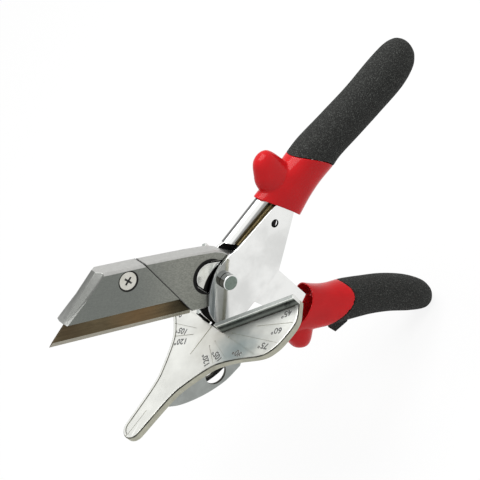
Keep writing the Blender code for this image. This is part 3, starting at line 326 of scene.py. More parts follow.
def turned(name, profile, centre, steps=64, turn=False, ring=False):
    """Turns a profile of (radius, y) pairs about the Y line through centre (x, z). A ring's profile is
    closed and leaves a way through. Turn says that it rides on the blade arm."""
    r, y = np.asarray(profile, float).T[..., None]
    angle = round_angles(steps)
    rings = np.stack([centre[0] + r * np.cos(angle), y + 0 * angle, centre[1] + r * np.sin(angle)], -1)
    rings = opened(rings) if turn else rings
    if not ring:
        return lofted(name, rings, fans=True)
    faces = grid_faces(steps + 1, len(profile)) % (steps * len(profile))
    return rough(name, rings.swapaxes(0, 1).reshape(-1, 3), faces.tolist())


def modify(thing, kind, **settings):
    """Adds a modifier with its settings."""
    step = thing.modifiers.new(kind.lower(), kind)
    for name, value in settings.items():
        setattr(step, name, value)


def fold(thing, others, operation="DIFFERENCE", crossing=False):
    """Applies Booleans with the other objects, in order, and removes them; crossing says that an
    object's own faces may cross."""
    for other in others:
        modify(thing, "BOOLEAN", operation=operation, object=other, solver="EXACT", use_self=crossing,
               material_mode="INDEX")
    settle(thing)
    for other in others:
        bpy.data.objects.remove(other, do_unlink=True)
    return thing


def settle(thing):
    """Replaces an object's mesh by the one that its modifiers give."""
    bpy.context.view_layer.update()
    graph = bpy.context.evaluated_depsgraph_get()
    mesh = bpy.data.meshes.new_from_object(thing.evaluated_get(graph))
    mesh.name = thing.name
    old = thing.data
    thing.modifiers.clear()
    thing.data = mesh
    bpy.data.meshes.remove(old)
    return thing


def read(items, name, size=1, kind=float):
    """One value of every item as an array, with a row for each item where it has more than one number."""
    values = np.zeros(len(items) * size, kind)
    items.foreach_get(name, values)
    return values.reshape(-1, size) if size > 1 else values


def looks(names):
    """The named materials."""
    return [bpy.data.materials[name] for name in names]


def finish_piece(thing, body, materials, nodes, sharp=35, edge=0.0, weighted=True, paint=None):
    """Gives a piece its materials, rounded edges and smooth shading, and puts it on its body. Paint
    chooses each face's material from its normal, middle and earlier material."""
    mesh = thing.data
    while len(mesh.materials) < len(materials):
        mesh.materials.append(None)
    for index, look in enumerate(looks(materials)):
        mesh.materials[index] = look
    if edge:
        modify(thing, "BEVEL", width=edge, segments=2, limit_method="ANGLE", angle_limit=math.radians(28),
               use_clamp_overlap=False)
        mesh = settle(thing).data
    if paint:
        faces = mesh.polygons
        index = read(faces, "material_index", kind=np.int32)
        index = paint(read(faces, "normal", 3), read(faces, "center", 3), index)
        faces.foreach_set("material_index", np.asarray(index, np.int32))
    mesh.shade_smooth()
    mesh.set_sharp_from_angle(angle=math.radians(sharp))
    if weighted:
        modify(thing, "WEIGHTED_NORMAL", keep_sharp=True, weight=90)
    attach(thing, body)
    if nodes:
        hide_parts(*nodes)
    return thing


def dressed(name, node):
    """A merged copy of a CAD node, its flat faces made whole again."""
    mesh = frame["nodes"][node].data.copy()
    mesh.materials.clear()
    mesh.name = name
    work = bmesh.new()
    work.from_mesh(mesh)
    bmesh.ops.remove_doubles(work, verts=work.verts, dist=2e-6)
    bmesh.ops.dissolve_limit(work, angle_limit=math.radians(0.6), verts=work.verts, edges=work.edges)
    work.to_mesh(mesh)
    work.free()
    if mesh.attributes.get("custom_normal"):
        mesh.attributes.remove(mesh.attributes["custom_normal"])
    return linked(name, mesh)


class Wiring:
    """A shader tree with short ways to add nodes. What a node takes is a socket, which gets a link, or
    a plain value."""

    def __init__(self, tree):
        self.tree = tree

    def give(self, socket, value):
        """Links an input to another socket, or sets its value."""
        if isinstance(value, bpy.types.NodeSocket):
            self.tree.links.new(value, socket)
        else:
            socket.default_value = value

    def add(self, kind, inputs=(), **settings):
        """A node with its settings and, by name or number, its inputs."""
        node = self.tree.nodes.new(kind)
        for name, value in settings.items():
            setattr(node, name, value)
        for name, value in dict(inputs).items():
            self.give(node.inputs[name], value)
        return node

    def place(self):
        """Object coordinates."""
        return self.add("ShaderNodeTexCoord").outputs["Object"]

    def maths(self, operation, first, second=0.0):
        return self.add("ShaderNodeMath", {0: first, 1: second}, operation=operation).outputs[0]

    def vector(self, operation, first, second, output="Value"):
        return self.add("ShaderNodeVectorMath", {0: first, 1: second}, operation=operation).outputs[output]

    def noise(self, scale, detail, stretch=(1, 1, 1), roughness=0.55, turn=0.0):
        """Noise on Object coordinates, turned back about Y and then made finer along the axes."""
        mapping = self.add("ShaderNodeMapping", {"Vector": self.place(), "Rotation": (0, turn, 0),
                                                 "Scale": [1 / v for v in stretch]}, vector_type="TEXTURE")
        return self.add("ShaderNodeTexNoise", {"Vector": mapping.outputs[0], "Scale": scale, "Detail": detail,
                                               "Roughness": roughness}).outputs["Fac"]

    def ramp(self, value, low, high, kind="SMOOTHSTEP"):
        """Stretches a value so that low becomes 0 and high becomes 1."""
        return self.add("ShaderNodeMapRange", {"Value": value, "From Min": low, "From Max": high},
                        interpolation_type=kind).outputs["Result"]

    def seen(self):
        """1 for rays from the eye, from a glossy surface or through glass."""
        path = self.add("ShaderNodeLightPath").outputs
        both = self.maths("MAXIMUM", path["Is Camera Ray"], path["Is Glossy Ray"])
        return self.maths("MAXIMUM", both, path["Is Transmission Ray"])


class Effect(Wiring):
    """A shader group under construction: its inputs are numbers or vectors, as their values are."""

    def __init__(self, name, inputs, *outputs):
        super().__init__(bpy.data.node_groups.new(name, "ShaderNodeTree"))
        face = self.tree.interface
        for label, value in inputs.items():
            kind = "NodeSocketFloat" if isinstance(value, float) else "NodeSocketVector"
            face.new_socket(label, in_out="INPUT", socket_type=kind).default_value = value
        for label in outputs:
            face.new_socket(label, in_out="OUTPUT", socket_type="NodeSocketFloat")
        self.given = self.add("NodeGroupInput").outputs
        self.out = self.add("NodeGroupOutput").inputs

    def put(self, label, value):
        """Gives the group one of its outputs."""
        self.give(self.out[label], value)


def make_groups():
    """Shared effects: casting grain, worn edges, brushing, and masks by place."""
    grain = Effect("casting_grain", {"Scale": 900.0, "Cloud Scale": 60.0}, "Cloud", "Height")
    grain.put("Cloud", grain.ramp(grain.noise(grain.given["Cloud Scale"], 3.0), 0.3, 0.7))
    grain.put("Height", grain.noise(grain.given["Scale"], 4.0))

    wear = Effect("edge_wear", {"Low": 0.52, "High": 0.6}, "Mask")
    shape = wear.add("ShaderNodeNewGeometry").outputs["Pointiness"]
    reach = wear.ramp(shape, wear.given["Low"], wear.given["High"], "LINEAR")
    patch = wear.maths("MULTIPLY", wear.ramp(wear.noise(400.0, 3.0), 0.3, 0.6), 0.6)
    wear.put("Mask", wear.maths("MULTIPLY", reach, wear.maths("ADD", patch, 0.4)))

    brush = Effect("brushing", {"Scale": 30.0}, "Streak")
    brush.put("Streak", brush.ramp(brush.noise(brush.given["Scale"], 5.0, (1, 14, 14), 0.7), 0.3, 0.72))

    share = Effect("share_along", {"Axis": (0.0, 0.0, 1.0), "Low": 0.0, "High": 1.0}, "Share")
    along = share.vector("DOT_PRODUCT", share.place(), share.given["Axis"])
    share.put("Share", share.ramp(along, share.given["Low"], share.given["High"], "LINEAR"))

    spot = Effect("near_place", {"Centre": (0.0, 0.0, 0.0), "Reach": 0.01, "Uneven": 0.9}, "Mask")
    reach = spot.given["Reach"]
    spread = spot.maths("MULTIPLY", spot.noise(90.0, 3.0), spot.maths("MULTIPLY", reach, spot.given["Uneven"]))
    far = spot.maths("ADD", spot.vector("DISTANCE", spot.place(), spot.given["Centre"]), spread)
    spot.put("Mask", spot.ramp(far, spot.maths("MULTIPLY", reach, 1.5), spot.maths("MULTIPLY", reach, 0.4)))

    disc = Effect("inside_circle", {"Centre": (0.0, 0.0, 0.0), "Radius": 0.01}, "Mask")
    level = disc.vector("MULTIPLY", disc.place(), (1, 0, 1), "Vector")
    rim = [disc.maths("ADD", disc.given["Radius"], step * 0.15 * MM) for step in (1, -1)]
    disc.put("Mask", disc.ramp(disc.vector("DISTANCE", level, disc.given["Centre"]), *rim))

    line = Effect("along_line", {"Across": (1.0, 0.0, 0.0), "Level": 0.0, "Half": 0.001}, "Mask")
    dot = line.vector("DOT_PRODUCT", line.place(), line.given["Across"])
    away = line.maths("ABSOLUTE", line.maths("SUBTRACT", dot, line.given["Level"]))
    rim = [line.maths("MULTIPLY", line.given["Half"], step) for step in (1.3, 0.7)]
    line.put("Mask", line.ramp(away, *rim))


class Look(Wiring):
    """A material under construction."""

    def __init__(self, name, colour, roughness, metallic=0.0, **more):
        material = bpy.data.materials.new(name)
        material.use_nodes = True
        super().__init__(material.node_tree)
        self.shader = self.tree.nodes["Principled BSDF"]
        values = {"Base_Color": (*colour, 1), "Roughness": roughness, "Metallic": metallic, **more}
        for label, value in values.items():
            self.shader.inputs[label.replace("_", " ")].default_value = value

    def effect(self, name, output, **values):
        """Adds a shared group with its own values and returns one output."""
        values = {label.replace("_", " "): value for label, value in values.items()}
        return self.add("ShaderNodeGroup", values, node_tree=bpy.data.node_groups[name]).outputs[output]

    def near(self, centre, reach, uneven=0.9):
        """1 at a point and 0 from a distance on, its rim made uneven by noise."""
        return self.effect("near_place", "Mask", Centre=tuple(centre), Reach=reach, Uneven=uneven)

    def around(self, centre, radius):
        """1 inside a round line about a Y axis, sharp at its rim."""
        return self.effect("inside_circle", "Mask", Centre=(centre[0], 0, centre[2]), Radius=radius)

    def along(self, start, end, half):
        """1 on a straight line seen from the side, through two points and square to Y."""
        way = unit(np.subtract(end, start))
        across = (-way[2], 0.0, way[0])
        return self.effect("along_line", "Mask", Across=across, Level=float(np.dot(across, start)), Half=half)

    def colours(self, mask, first, second):
        """Mixes two colours, or a socket's and a colour, by a mask into the base colour."""
        first = first if isinstance(first, bpy.types.NodeSocket) else (*first, 1)
        mix = self.add("ShaderNodeMix", {0: mask}, data_type="RGBA")
        self.give(mix.inputs[6], first)
        self.give(mix.inputs[7], (*second, 1))
        self.give(self.shader.inputs["Base Color"], mix.outputs[2])

    def over(self, mask, colour, weight=1.0):
        """Lays a colour over the base colour made so far, by a mask times a weight."""
        held = self.shader.inputs["Base Color"].links[0].from_socket
        self.colours(mask if weight == 1.0 else self.maths("MULTIPLY", mask, weight), held, colour)

    def bands(self, axis, low, high, stops, colour):
        """A base colour in bands along an axis: each stop has its share of the way and of a colour."""
        share = self.effect("share_along", "Share", Axis=axis, Low=low, High=high)
        node = self.add("ShaderNodeValToRGB", {0: share})
        for index, (at, part) in enumerate(stops):
            stop = node.color_ramp.elements[index] if index < 2 else node.color_ramp.elements.new(at)
            stop.position = at
            stop.color = (*shade(colour, part), 1)
        self.give(self.shader.inputs["Base Color"], node.outputs[0])

    def roughness(self, mask, low, high):
        """Roughness from low to high by a mask."""
        node = self.add("ShaderNodeMapRange", {"Value": mask, "To Min": low, "To Max": high})
        self.give(self.shader.inputs["Roughness"], node.outputs["Result"])

    def bump(self, height, distance, strength):
        """A bump of some depth; more than one is chained."""
        node = self.add("ShaderNodeBump", {"Distance": distance, "Strength": strength, "Height": height})
        held = self.shader.inputs["Normal"].links
        if held:
            self.give(node.inputs["Normal"], held[0].from_socket)
        self.give(self.shader.inputs["Normal"], node.outputs["Normal"])

    def grain(self, scale, distance, strength):
        """The bump of a casting's grain."""
        self.bump(self.effect("casting_grain", "Height", Scale=scale), distance, strength)


def shade(colour, factor):
    """A lighter or darker form of a colour."""
    return tuple(min(1.0, c * factor) for c in colour)


def make_materials():
    """Every material of the tool, painted light and shade among them, from the settings' colours."""
    scene = bpy.context.scene
    table, handle, metal = scene.cutter_table, scene.cutter_handles, scene.cutter_metal
    cast, side, keel = table.colour, table.side_colour, table.keel_colour
    even = (1, 1, 1)
    seam, recess = opened(flat(SEAM)), opened(flat(RECESS))

    # Materials of one noise, painted highlight, light and shade among them: colour, roughness, metallic, the
    # noise, its two colours, and the noise and range of the roughness
    made = {}
    for name, colour, rough_value, metallic, noise, low, high, wear in (
            # engraved_line: near black, the colour of the engraved lines and figures, and painted shade in the
            # screw head's cross recess
            ("engraved_line", shade(cast, 0.1), 0.55, 0.3, (900, 3), shade(cast, 0.04), shade(cast, 0.3), ()),
            # bright_line: white laid on as painted highlights, beside the 90° line, under the figures and on the
            # bolt head's rounded edge
            ("bright_line", (0.86, 0.88, 0.87), 0.3, 0.9, (500, 3), (0.75, 0.78, 0.77), (0.95, 0.96, 0.95), ()),
            ("cast_side", side, 0.5, 0.7, (260, 5, even, 0.7), shade(side, 0.6), shade(side, 1.35),
             (180, 3, 0.4, 0.6)),
            ("plain_steel", (0.42, 0.43, 0.42), 0.3, 1.0, (160, 4), (0.28, 0.29, 0.28), (0.50, 0.51, 0.50),
             (260, 3, 0.22, 0.4)),
            ("cream_screw", (0.62, 0.61, 0.55), 0.32, 0.9, (420, 3), (0.55, 0.54, 0.47), (0.72, 0.71, 0.66),
             (300, 3, 0.25, 0.42)),
            # bright_crown and nose_grey: lighter and darker copies of the carrier's grey, painted light on its
            # crown and painted shade on its nose
            ("bright_crown", (0.60, 0.60, 0.575), 0.34, 0.9, (500, 5, even, 0.7), (0.38, 0.38, 0.365),
             (0.58, 0.58, 0.56), (220, 4, 0.28, 0.44)),
            ("nose_grey", (0.16, 0.164, 0.155), 0.42, 0.9, (420, 5, even, 0.7), (0.135, 0.139, 0.13),
             (0.17, 0.174, 0.165), (220, 4, 0.32, 0.5)),
            ("bolt_face", (0.21, 0.26, 0.23), 0.3, 0.95, (900, 4), (0.15, 0.19, 0.165), (0.30, 0.36, 0.33),
             (300, 3, 0.24, 0.4)),
            ("blade_bevel", (0.32, 0.30, 0.25), 0.22, 1.0, (700, 3, (1, 8, 1)), (0.22, 0.205, 0.165),
             (0.42, 0.40, 0.34), ()),
            ("dark_bronze", (0.12, 0.09, 0.045), 0.3, 1.0, (300, 4, (1, 6, 6)), (0.06, 0.045, 0.02),
             (0.22, 0.17, 0.08), ())):
        look = made[name] = Look(name, colour, rough_value, metallic)
        look.colours(look.noise(*noise), low, high)
        if wear:
            look.roughness(look.noise(*wear[:2]), *wear[2:])
    made["cast_side"].grain(900.0, 0.00010, 0.6)
    made["bright_crown"].over(made["bright_crown"].along(*seam, 0.5 * MM), BLACK)
    made["bright_crown"].grain(1600.0, 0.00004, 0.6)
    made["nose_grey"].over(made["nose_grey"].effect("edge_wear", "Mask", Low=0.525, High=0.6), (0.6, 0.6, 0.58))
    made["nose_grey"].grain(1500.0, 0.00005, 0.6)

    # dark_gap: near black, painted shade in the table's slot and keel, on the cheeks, in the channel, on the
    # lower channel's nose and round the carrier's screw hole and recess; also the dark walls of the seam between
    # carrier and cover
    look = Look("dark_gap", (0.012, 0.012, 0.011), 0.7, Specular_IOR_Level=0.1)
    look.colours(look.noise(300, 3), (0.006, 0.006, 0.006), (0.03, 0.03, 0.028))

    # edge_line: painted shade along the table's upper edge, on the keel webs' ends and on the bolt head's foot
    # and front side
    look = Look("edge_line", shade(side, 0.12), 0.5, 0.5)
    look.colours(look.ramp(look.noise(160, 4), 0.4, 0.7), shade(side, 0.06), shade(side, 0.35))

    look = Look("satin_table", cast, 0.34, 0.85)
    look.colours(look.effect("casting_grain", "Cloud", Cloud_Scale=45.0), shade(cast, 0.93), shade(cast, 1.1))
    # Painted reflections: a darker brownish patch by the apex and a bluish one further out on the near side
    look.over(look.near((2 * MM, -8 * MM, 0), 26 * MM), (0.42, 0.40, 0.34), 0.5)
    look.over(look.near((-1 * MM, -28 * MM, 0), 19 * MM), (0.33, 0.40, 0.41), 0.85)
    look.over(look.effect("edge_wear", "Mask", Low=0.53, High=0.62), (0.86, 0.86, 0.84))
    look.roughness(look.noise(140, 4), 0.26, 0.44)
    look.grain(1500.0, 0.00003, 0.5)
    look.bump(look.noise(70, 2), 0.0002, 0.35)

    look = Look("keel_web", keel, 0.42, 0.85)
    look.colours(look.effect("casting_grain", "Cloud", Cloud_Scale=90.0), shade(keel, 0.88), shade(keel, 1.12))
    look.roughness(look.noise(200, 4), 0.34, 0.5)
    look.grain(1200.0, 0.00005, 0.5)

    look = Look("ground_fence", table.fence_colour, 0.26, 1.0)
    streak = look.effect("brushing", "Streak", Scale=26.0)
    look.bands((0, 0, 1), 0.0, FENCE_HEIGHT, FENCE_BANDS, table.fence_colour)
    look.over(streak, shade(table.fence_colour, 0.5), 0.45)
    look.roughness(streak, 0.2, 0.36)

    for name in ("shaded_plate", "shaded_nose"):
        look = Look(name, metal.chrome, 0.07, 1.0)
        look.colours(look.ramp(look.noise(55, 3), 0.35, 0.7), shade(metal.chrome, 1.06),
                     shade(metal.chrome, 0.86))
        if name == "shaded_plate":
            # Painted reflections on the cheeks, in dark strips
            for start, end, half, colour in CHEEK_REFLECTIONS:
                look.over(look.along(*flat((start, end)) * MM, half * MM), colour, 0.75)
            # Painted shade: black about the far cheek's foot by the apex
            look.over(look.near((3 * MM, 7 * MM, 2 * MM), 10 * MM), BLACK)
        else:
            # Painted shade: black on the lower channel's nose about the recess, where it lies behind the cheeks
            beside = look.around((24 * MM, 0, 8 * MM), 19.6 * MM)
            look.over(look.maths("MULTIPLY", look.around(recess, 13 * MM), beside), (0.012, 0.012, 0.012))
        look.roughness(look.ramp(look.noise(90, 5), 0.35, 0.75), 0.05, 0.16)
        look.bump(look.noise(38, 1), 0.0004, 0.25)

    look = Look("chromed_channel", metal.chrome, 0.1, 1.0)
    look.bands((0, 1, 0), -CHANNEL_RADIUS, CHANNEL_RADIUS, CHANNEL_BANDS, metal.chrome)
    look.over(look.noise(300, 3, (1, 8, 8)), shade(metal.chrome, 0.75), 0.3)
    look.roughness(look.noise(200, 4, (1, 6, 6)), 0.08, 0.22)

    look = Look("cast_grey", metal.casting, 0.46, 0.85)
    look.colours(look.ramp(look.noise(1100, 3, (1, 1, 2), turn=OPEN), 0.3, 0.7), shade(metal.casting, 0.8),
                 shade(metal.casting, 1.16))
    look.over(look.near(opened((-70 * MM, 0, 2 * MM)), 34 * MM, 0.12), (0.15, 0.165, 0.155), 0.7)
    # Painted shade: a dark ring round the clamp screw's countersink
    look.over(look.around(opened(flat(SCREW)), 5.75 * MM), shade(metal.casting, 0.08))
    look.over(look.along(*seam, 0.3 * MM), BLACK)
    # Painted shade: black inside the round line of the carrier's recess
    look.over(look.around(recess, RECESS_RADIUS), (0.01, 0.01, 0.01))
    look.roughness(look.noise(900, 4), 0.48, 0.53)
    look.grain(1900.0, 0.00003, 0.15)

    look = Look("brown_blade", metal.blade, 0.24, 1.0)
    streak = look.ramp(look.noise(60, 5, (1, 10, 12), 0.7, OPEN), 0.3, 0.7)
    look.colours(streak, shade(metal.blade, 0.72), shade(metal.blade, 1.2))
    for share, reach, weight, colour in BLADE_SPOTS:
        look.over(look.near(opened(((-98 + 80 * share) * MM, 0, -8 * MM)), reach * MM), colour, weight)
    look.roughness(look.noise(120, 4), 0.18, 0.34)

    look = Look("dipped_vinyl", handle.vinyl, 0.2, Specular_IOR_Level=0.12, Coat_Weight=0.12, Coat_Roughness=0.06)
    look.colours(look.ramp(look.noise(50, 2), 0.3, 0.7), shade(handle.vinyl, 0.9), shade(handle.vinyl, 1.08))
    look.roughness(look.noise(240, 3), 0.16, 0.28)
    look.bump(look.noise(260, 2), 0.00012, 0.3)

    look = Look("foam_grip", handle.foam, 0.85, Specular_IOR_Level=0.25)
    speck = look.ramp(look.noise(1700, 3, roughness=0.8), 0.5, 0.66)
    look.colours(speck, shade(handle.foam, 0.6), shade(handle.foam, 3.0))
    look.roughness(speck, 0.95, 0.62)
    look.bump(look.noise(1500, 3, roughness=0.7), 0.0005, 0.7)
    look.bump(look.noise(260, 2), 0.0004, 0.3)


def table_half_edge():
    """The far side's edge: nose circle, then a smooth curve through the fan's points."""
    nose = arc((-NOSE_REACH + NOSE_RADIUS, 0), NOSE_RADIUS, 180, 100, 24)
    knots = np.vstack([nose[-1:], np.array(FRONT_EDGE) * MM, np.array(SIDE_EDGE) * MM,
                       [[FENCE_REACH, FENCE_REACH + FENCE_OFFSET]]])
    return np.vstack([nose[:-1], curve(knots, 12)])


def both_sides(half):
    """A half outline and its mirror image, joined into one closed outline."""
    half = np.asarray(half, float)
    return np.vstack([half, (half * (1, -1))[::-1][:-1]])


def directions(angle, side):
    """The direction of a scale line, and the one square to it towards the nose."""
    heading = math.radians(side * angle)
    along = np.array((math.cos(heading), math.sin(heading)))
    return along, np.array((-along[1], along[0])) * side


def scale_lines(settings):
    """Cutters for the scale's lines and the landing groove: thin blocks that cross the face."""
    points, faces, finish = [], [], []
    width = settings.line_width
    sides = np.array(((3, 2, 1, 0), (4, 5, 6, 7), (0, 1, 5, 4), (1, 2, 6, 5), (2, 3, 7, 6), (3, 0, 4, 7)))

    def block(start, end, width, taper=1.0, index=1):
        """A block along a line in the face, its end width a share of its start's."""
        finish.extend([index] * 6)
        faces.extend((sides + len(points)).tolist())
        start, end = np.array(start), np.array(end)
        along = unit(end - start)
        side = np.array((-along[1], along[0])) * width / 2
        corners = np.array([start - side, end - side * taper, end + side * taper, start + side])
        for z in (-settings.engraving, settings.engraving * 2):
            points.extend(np.insert(corners, 2, z, axis=1))

    for side in (-1, 1):
        for angle, start, end, off, _, _ in MARKS:
            along, away = directions(angle, side)
            block((along * start + away * off) * MM, (along * end + away * off) * MM, width)
            # Beside the 90° line a second block of the white material: a painted highlight on the groove's lit
            # side
            if angle == 90:
                off -= width / MM
                block((along * start + away * off) * MM, (along * end + away * off) * MM, width, index=2)
    block((SLOT_FRONT, 0), (-17 * MM, 0), width * 2.4, 0.3)
    block((-55 * MM, 0), (-71 * MM, 0), width * 0.6)
    thing = rough("scale_cutter", points, faces)
    for look in looks(("satin_table", "engraved_line", "bright_line")):
        thing.data.materials.append(look)
    thing.data.polygons.foreach_set("material_index", np.array(finish, np.int32))
    return thing


def label_places():
    """Each label with its middle, beside its line towards the nose, and its baseline's direction."""
    places = []
    for side in (-1, 1):
        for angle, _, _, _, middle, gap in MARKS:
            along, away = directions(angle, side)
            places.append((f"{angle}°", (along * middle + away * gap) * MM, 180 - angle if side < 0 else angle))
        places.append(("45°", np.array(LAST_LABEL) * (1, side) * MM, 135 if side < 0 else 45))
    return places


class CUTTER_OT_table(bpy.types.Operator):
    """Fan-shaped table: a rounded rim round the sunk face, two fences, the keel's webs and the scale"""
    bl_idname = "cutter.make_table"
    bl_label = "Scale table"

    def execute(self, context):
        settings = context.scene.cutter_table
        rim = settings.rim_width
        edge = table_half_edge()
        shift = FENCE_THICK * math.sqrt(2)
        back_end = (FENCE_REACH + shift / 2, FENCE_REACH + FENCE_OFFSET - shift / 2)
        back_start = (SLOT_HALF - FENCE_OFFSET + shift, SLOT_HALF)
        face_end = (FENCE_REACH, FENCE_REACH + FENCE_OFFSET)
        face_start = (FENCE_START - FENCE_OFFSET, FENCE_START)
        slot_corner = (SLOT_FRONT, SLOT_HALF)
        outline = both_sides(np.vstack([edge, [back_end, back_start, slot_corner]]))
        table = prism("scale_table_cast", outline, rounded(-TABLE_THICK, RIM_HEIGHT, EDGE_ROUND))
        along = unit(np.gradient(edge, axis=0))
        inner = edge + np.stack([along[:, 1], -along[:, 0]], 1) * rim
        inner = inner[inner[:, 0] < FENCE_REACH - rim * 1.6]
        tail = [np.array(face_end) - rim, face_start, slot_corner, (SLOT_FRONT + SLOT_HALF, SLOT_HALF)]
        fold(table, [prism("pocket", both_sides(np.vstack([inner, tail])),
                           ((0.25 * MM, 0), (0.1 * MM, 0.1 * MM), (0, 0.3 * MM), (0, 6 * MM)))])
        below = -TABLE_THICK / 2
        pieces = []
        for side in (1, -1):
            corners = np.array([face_start, face_end, back_end, back_start, slot_corner]) * (1, side)
            pieces.append(prism("fence", corners, [(0, below)] + rounded(0, FENCE_HEIGHT, FENCE_ROUND)[5:]))
        knots = [(-KEEL_FRONT * x, -TABLE_THICK - KEEL_DEPTH * z) for x, z in ((1, 0), *KEEL_EDGE)]
        sunk = -TABLE_THICK - WEB_ROUND
        keel = np.vstack([[(-KEEL_FRONT, below)], curve(knots, 10),
                          [(KEEL_BACK, -TABLE_THICK - KEEL_DEPTH * 0.72), (KEEL_BACK, sunk),
                           (SLOT_FRONT - WEB_ROUND, sunk), (SLOT_FRONT - WEB_ROUND, below)]])
        for side in (1, -1):
            low, high = sorted((side * KEEL_INNER, side * KEEL_OUTER))
            pieces.append(prism("web", keel, rounded(low, high, WEB_ROUND), upright=False))
        fold(table, pieces, "UNION")
        cuts = [turned("way", ((radius, -20 * MM), (radius, 20 * MM)), centre, steps) for radius, centre, steps in
                ((KEEL_HOLE_RADIUS, KEEL_HOLE, 48), *((RIVET_WAY, rivet, 24) for rivet in TABLE_RIVETS))]
        half, front, back = SLOT_HALF / 20, -NOSE_REACH - rim, -NOSE_REACH + rim * 1.4
        cuts.append(prism("nick", ((front, half), (front, -half), (back, -half), (back, half)),
                          ((0, 0.02 * MM), (0, FENCE_HEIGHT))))
        fold(table, cuts)
        fold(table, [scale_lines(settings)], crossing=True)
        finish_piece(table, ANVIL, ("satin_table", "engraved_line", "bright_line", "cast_side",
                                                     "edge_line", "keel_web", "ground_fence", "dark_gap"),
                     ["scale_table"], paint=self.paint)
        self.figures(settings)
        return {"FINISHED"}

    def paint(self, normals, centres, index):
        """Where no line is cut: 3 side wall, 4 painted shade on its upper edge and on the webs' ends, 5 keel and
        fence tops, 6 fence fronts with painted reflections, 7 painted shade in the slot, on the far fence's apex
        end and on the webs' inner faces."""
        (x, y, z), (ahead, across, up) = centres.T, normals.T
        front = (across * np.sign(y) - ahead) / math.sqrt(2)
        plain, low = index == 0, z < -TABLE_THICK - 0.01 * MM
        slot = (x > SLOT_FRONT - 0.1 * MM) & (np.abs(y) < SLOT_HALF + 0.1 * MM) & ~low
        wall = (z < RIM_HEIGHT) & (np.abs(up) < 0.97) & ~low
        for faces, look in ((wall, 3),
                            (wall & (z > -0.5 * MM) & (up > 0.1), 4),
                            (low | (z > FENCE_HEIGHT - 0.05 * MM), 5),
                            ((front > 0.97) & (z > 0) & (x > 0), 6),
                            ((z > 0.5 * MM) & (x < 6 * MM) & (y > 0), 7),
                            (slot & ((up < 0.9) | (x < SLOT_FRONT + 1.5 * MM)), 7),
                            (low & (np.abs(across) < 0.8) & (np.abs(y) > KEEL_INNER), 4),
                            (low & (across * y < -0.5 * KEEL_INNER), 7)):
            index[plain & faces] = look
        return index

    def figures(self, settings):
        """The angle figures, a dark layer of type on a bright one that is set off to one side as a painted
        highlight.
        """
        for name, look, shift, height in (("figure_light", "bright_line", 0.16 * MM, 0.03 * MM),
                                          ("figure_dark", "engraved_line", 0.0, 0.06 * MM)):
            points, faces = np.zeros((0, 3)), []
            for text, middle, direction in label_places():
                kind = bpy.data.curves.new("figures", "FONT")
                kind.body = text
                kind.size = settings.figure_size
                kind.extrude = height
                kind.offset = settings.figure_weight
                kind.align_x = kind.align_y = "CENTER"
                kind.resolution_u = 3
                holder = linked("figures", kind)
                bpy.context.view_layer.update()
                graph = bpy.context.evaluated_depsgraph_get()
                mesh = bpy.data.meshes.new_from_object(holder.evaluated_get(graph))
                mesh.transform(Matrix.Translation((middle[0] + shift, middle[1] - shift, 0))
                               @ Matrix.Rotation(math.radians(direction), 4, "Z"))
                corners = read(mesh.loops, "vertex_index", kind=np.int32) + len(points)
                ends = np.cumsum(read(mesh.polygons, "loop_total", kind=np.int32))[:-1]
                faces += [face.tolist() for face in np.split(corners, ends)]
                points = np.vstack([points, read(mesh.vertices, "co", 3)])
                bpy.data.objects.remove(holder, do_unlink=True)
            finish_piece(rough(name, points, faces), ANVIL, (look,), [], weighted=False)


class CUTTER_OT_plates(bpy.types.Operator):
    """The two cheeks, the slot strips and the lower channel: solids with their edges rounded"""
    bl_idname = "cutter.make_plates"
    bl_label = "Plates"

    def execute(self, context):
        edge = context.scene.cutter_metal.edge
        for node, body, slot, look, width, paint in (
                ("near_cheek", ANVIL, "polished_steel", "shaded_plate", edge, self.paint_cheek),
                ("far_cheek", ANVIL, "polished_steel", "shaded_plate", edge, self.paint_cheek),
                ("near_slot_strip", ANVIL, "bronze_strip", "dark_bronze", edge * 0.5, None),
                ("far_slot_strip", ANVIL, "bronze_strip", "dark_bronze", edge * 0.5, None),
                ("lower_channel", ARM, "polished_steel", "shaded_nose", edge, self.paint_nose)):
            finish_piece(dressed(f"{node}_plate", node), body, (look, "dark_gap"), [node], edge=width,
                         paint=paint)
        return {"FINISHED"}

    def paint_cheek(self, normals, centres, index):
        """A cheek has painted shade on its inner face, and at its edges where its foot stands in the table's
        slot.
        """
        foot = (centres[:, 2] < 5 * MM) & (centres[:, 0] < 9 * MM) & (np.abs(normals[:, 1]) < 0.9)
        return foot | (normals[:, 1] * np.sign(centres[:, 1]) < -0.9)

    def paint_nose(self, normals, centres, index):
        """The lower channel's rounded nose has painted shade on its edges, where it sits in its recess."""
        return (closed(centres)[:, 0] < 3 * MM) & (np.abs(normals[:, 1]) < 0.9)


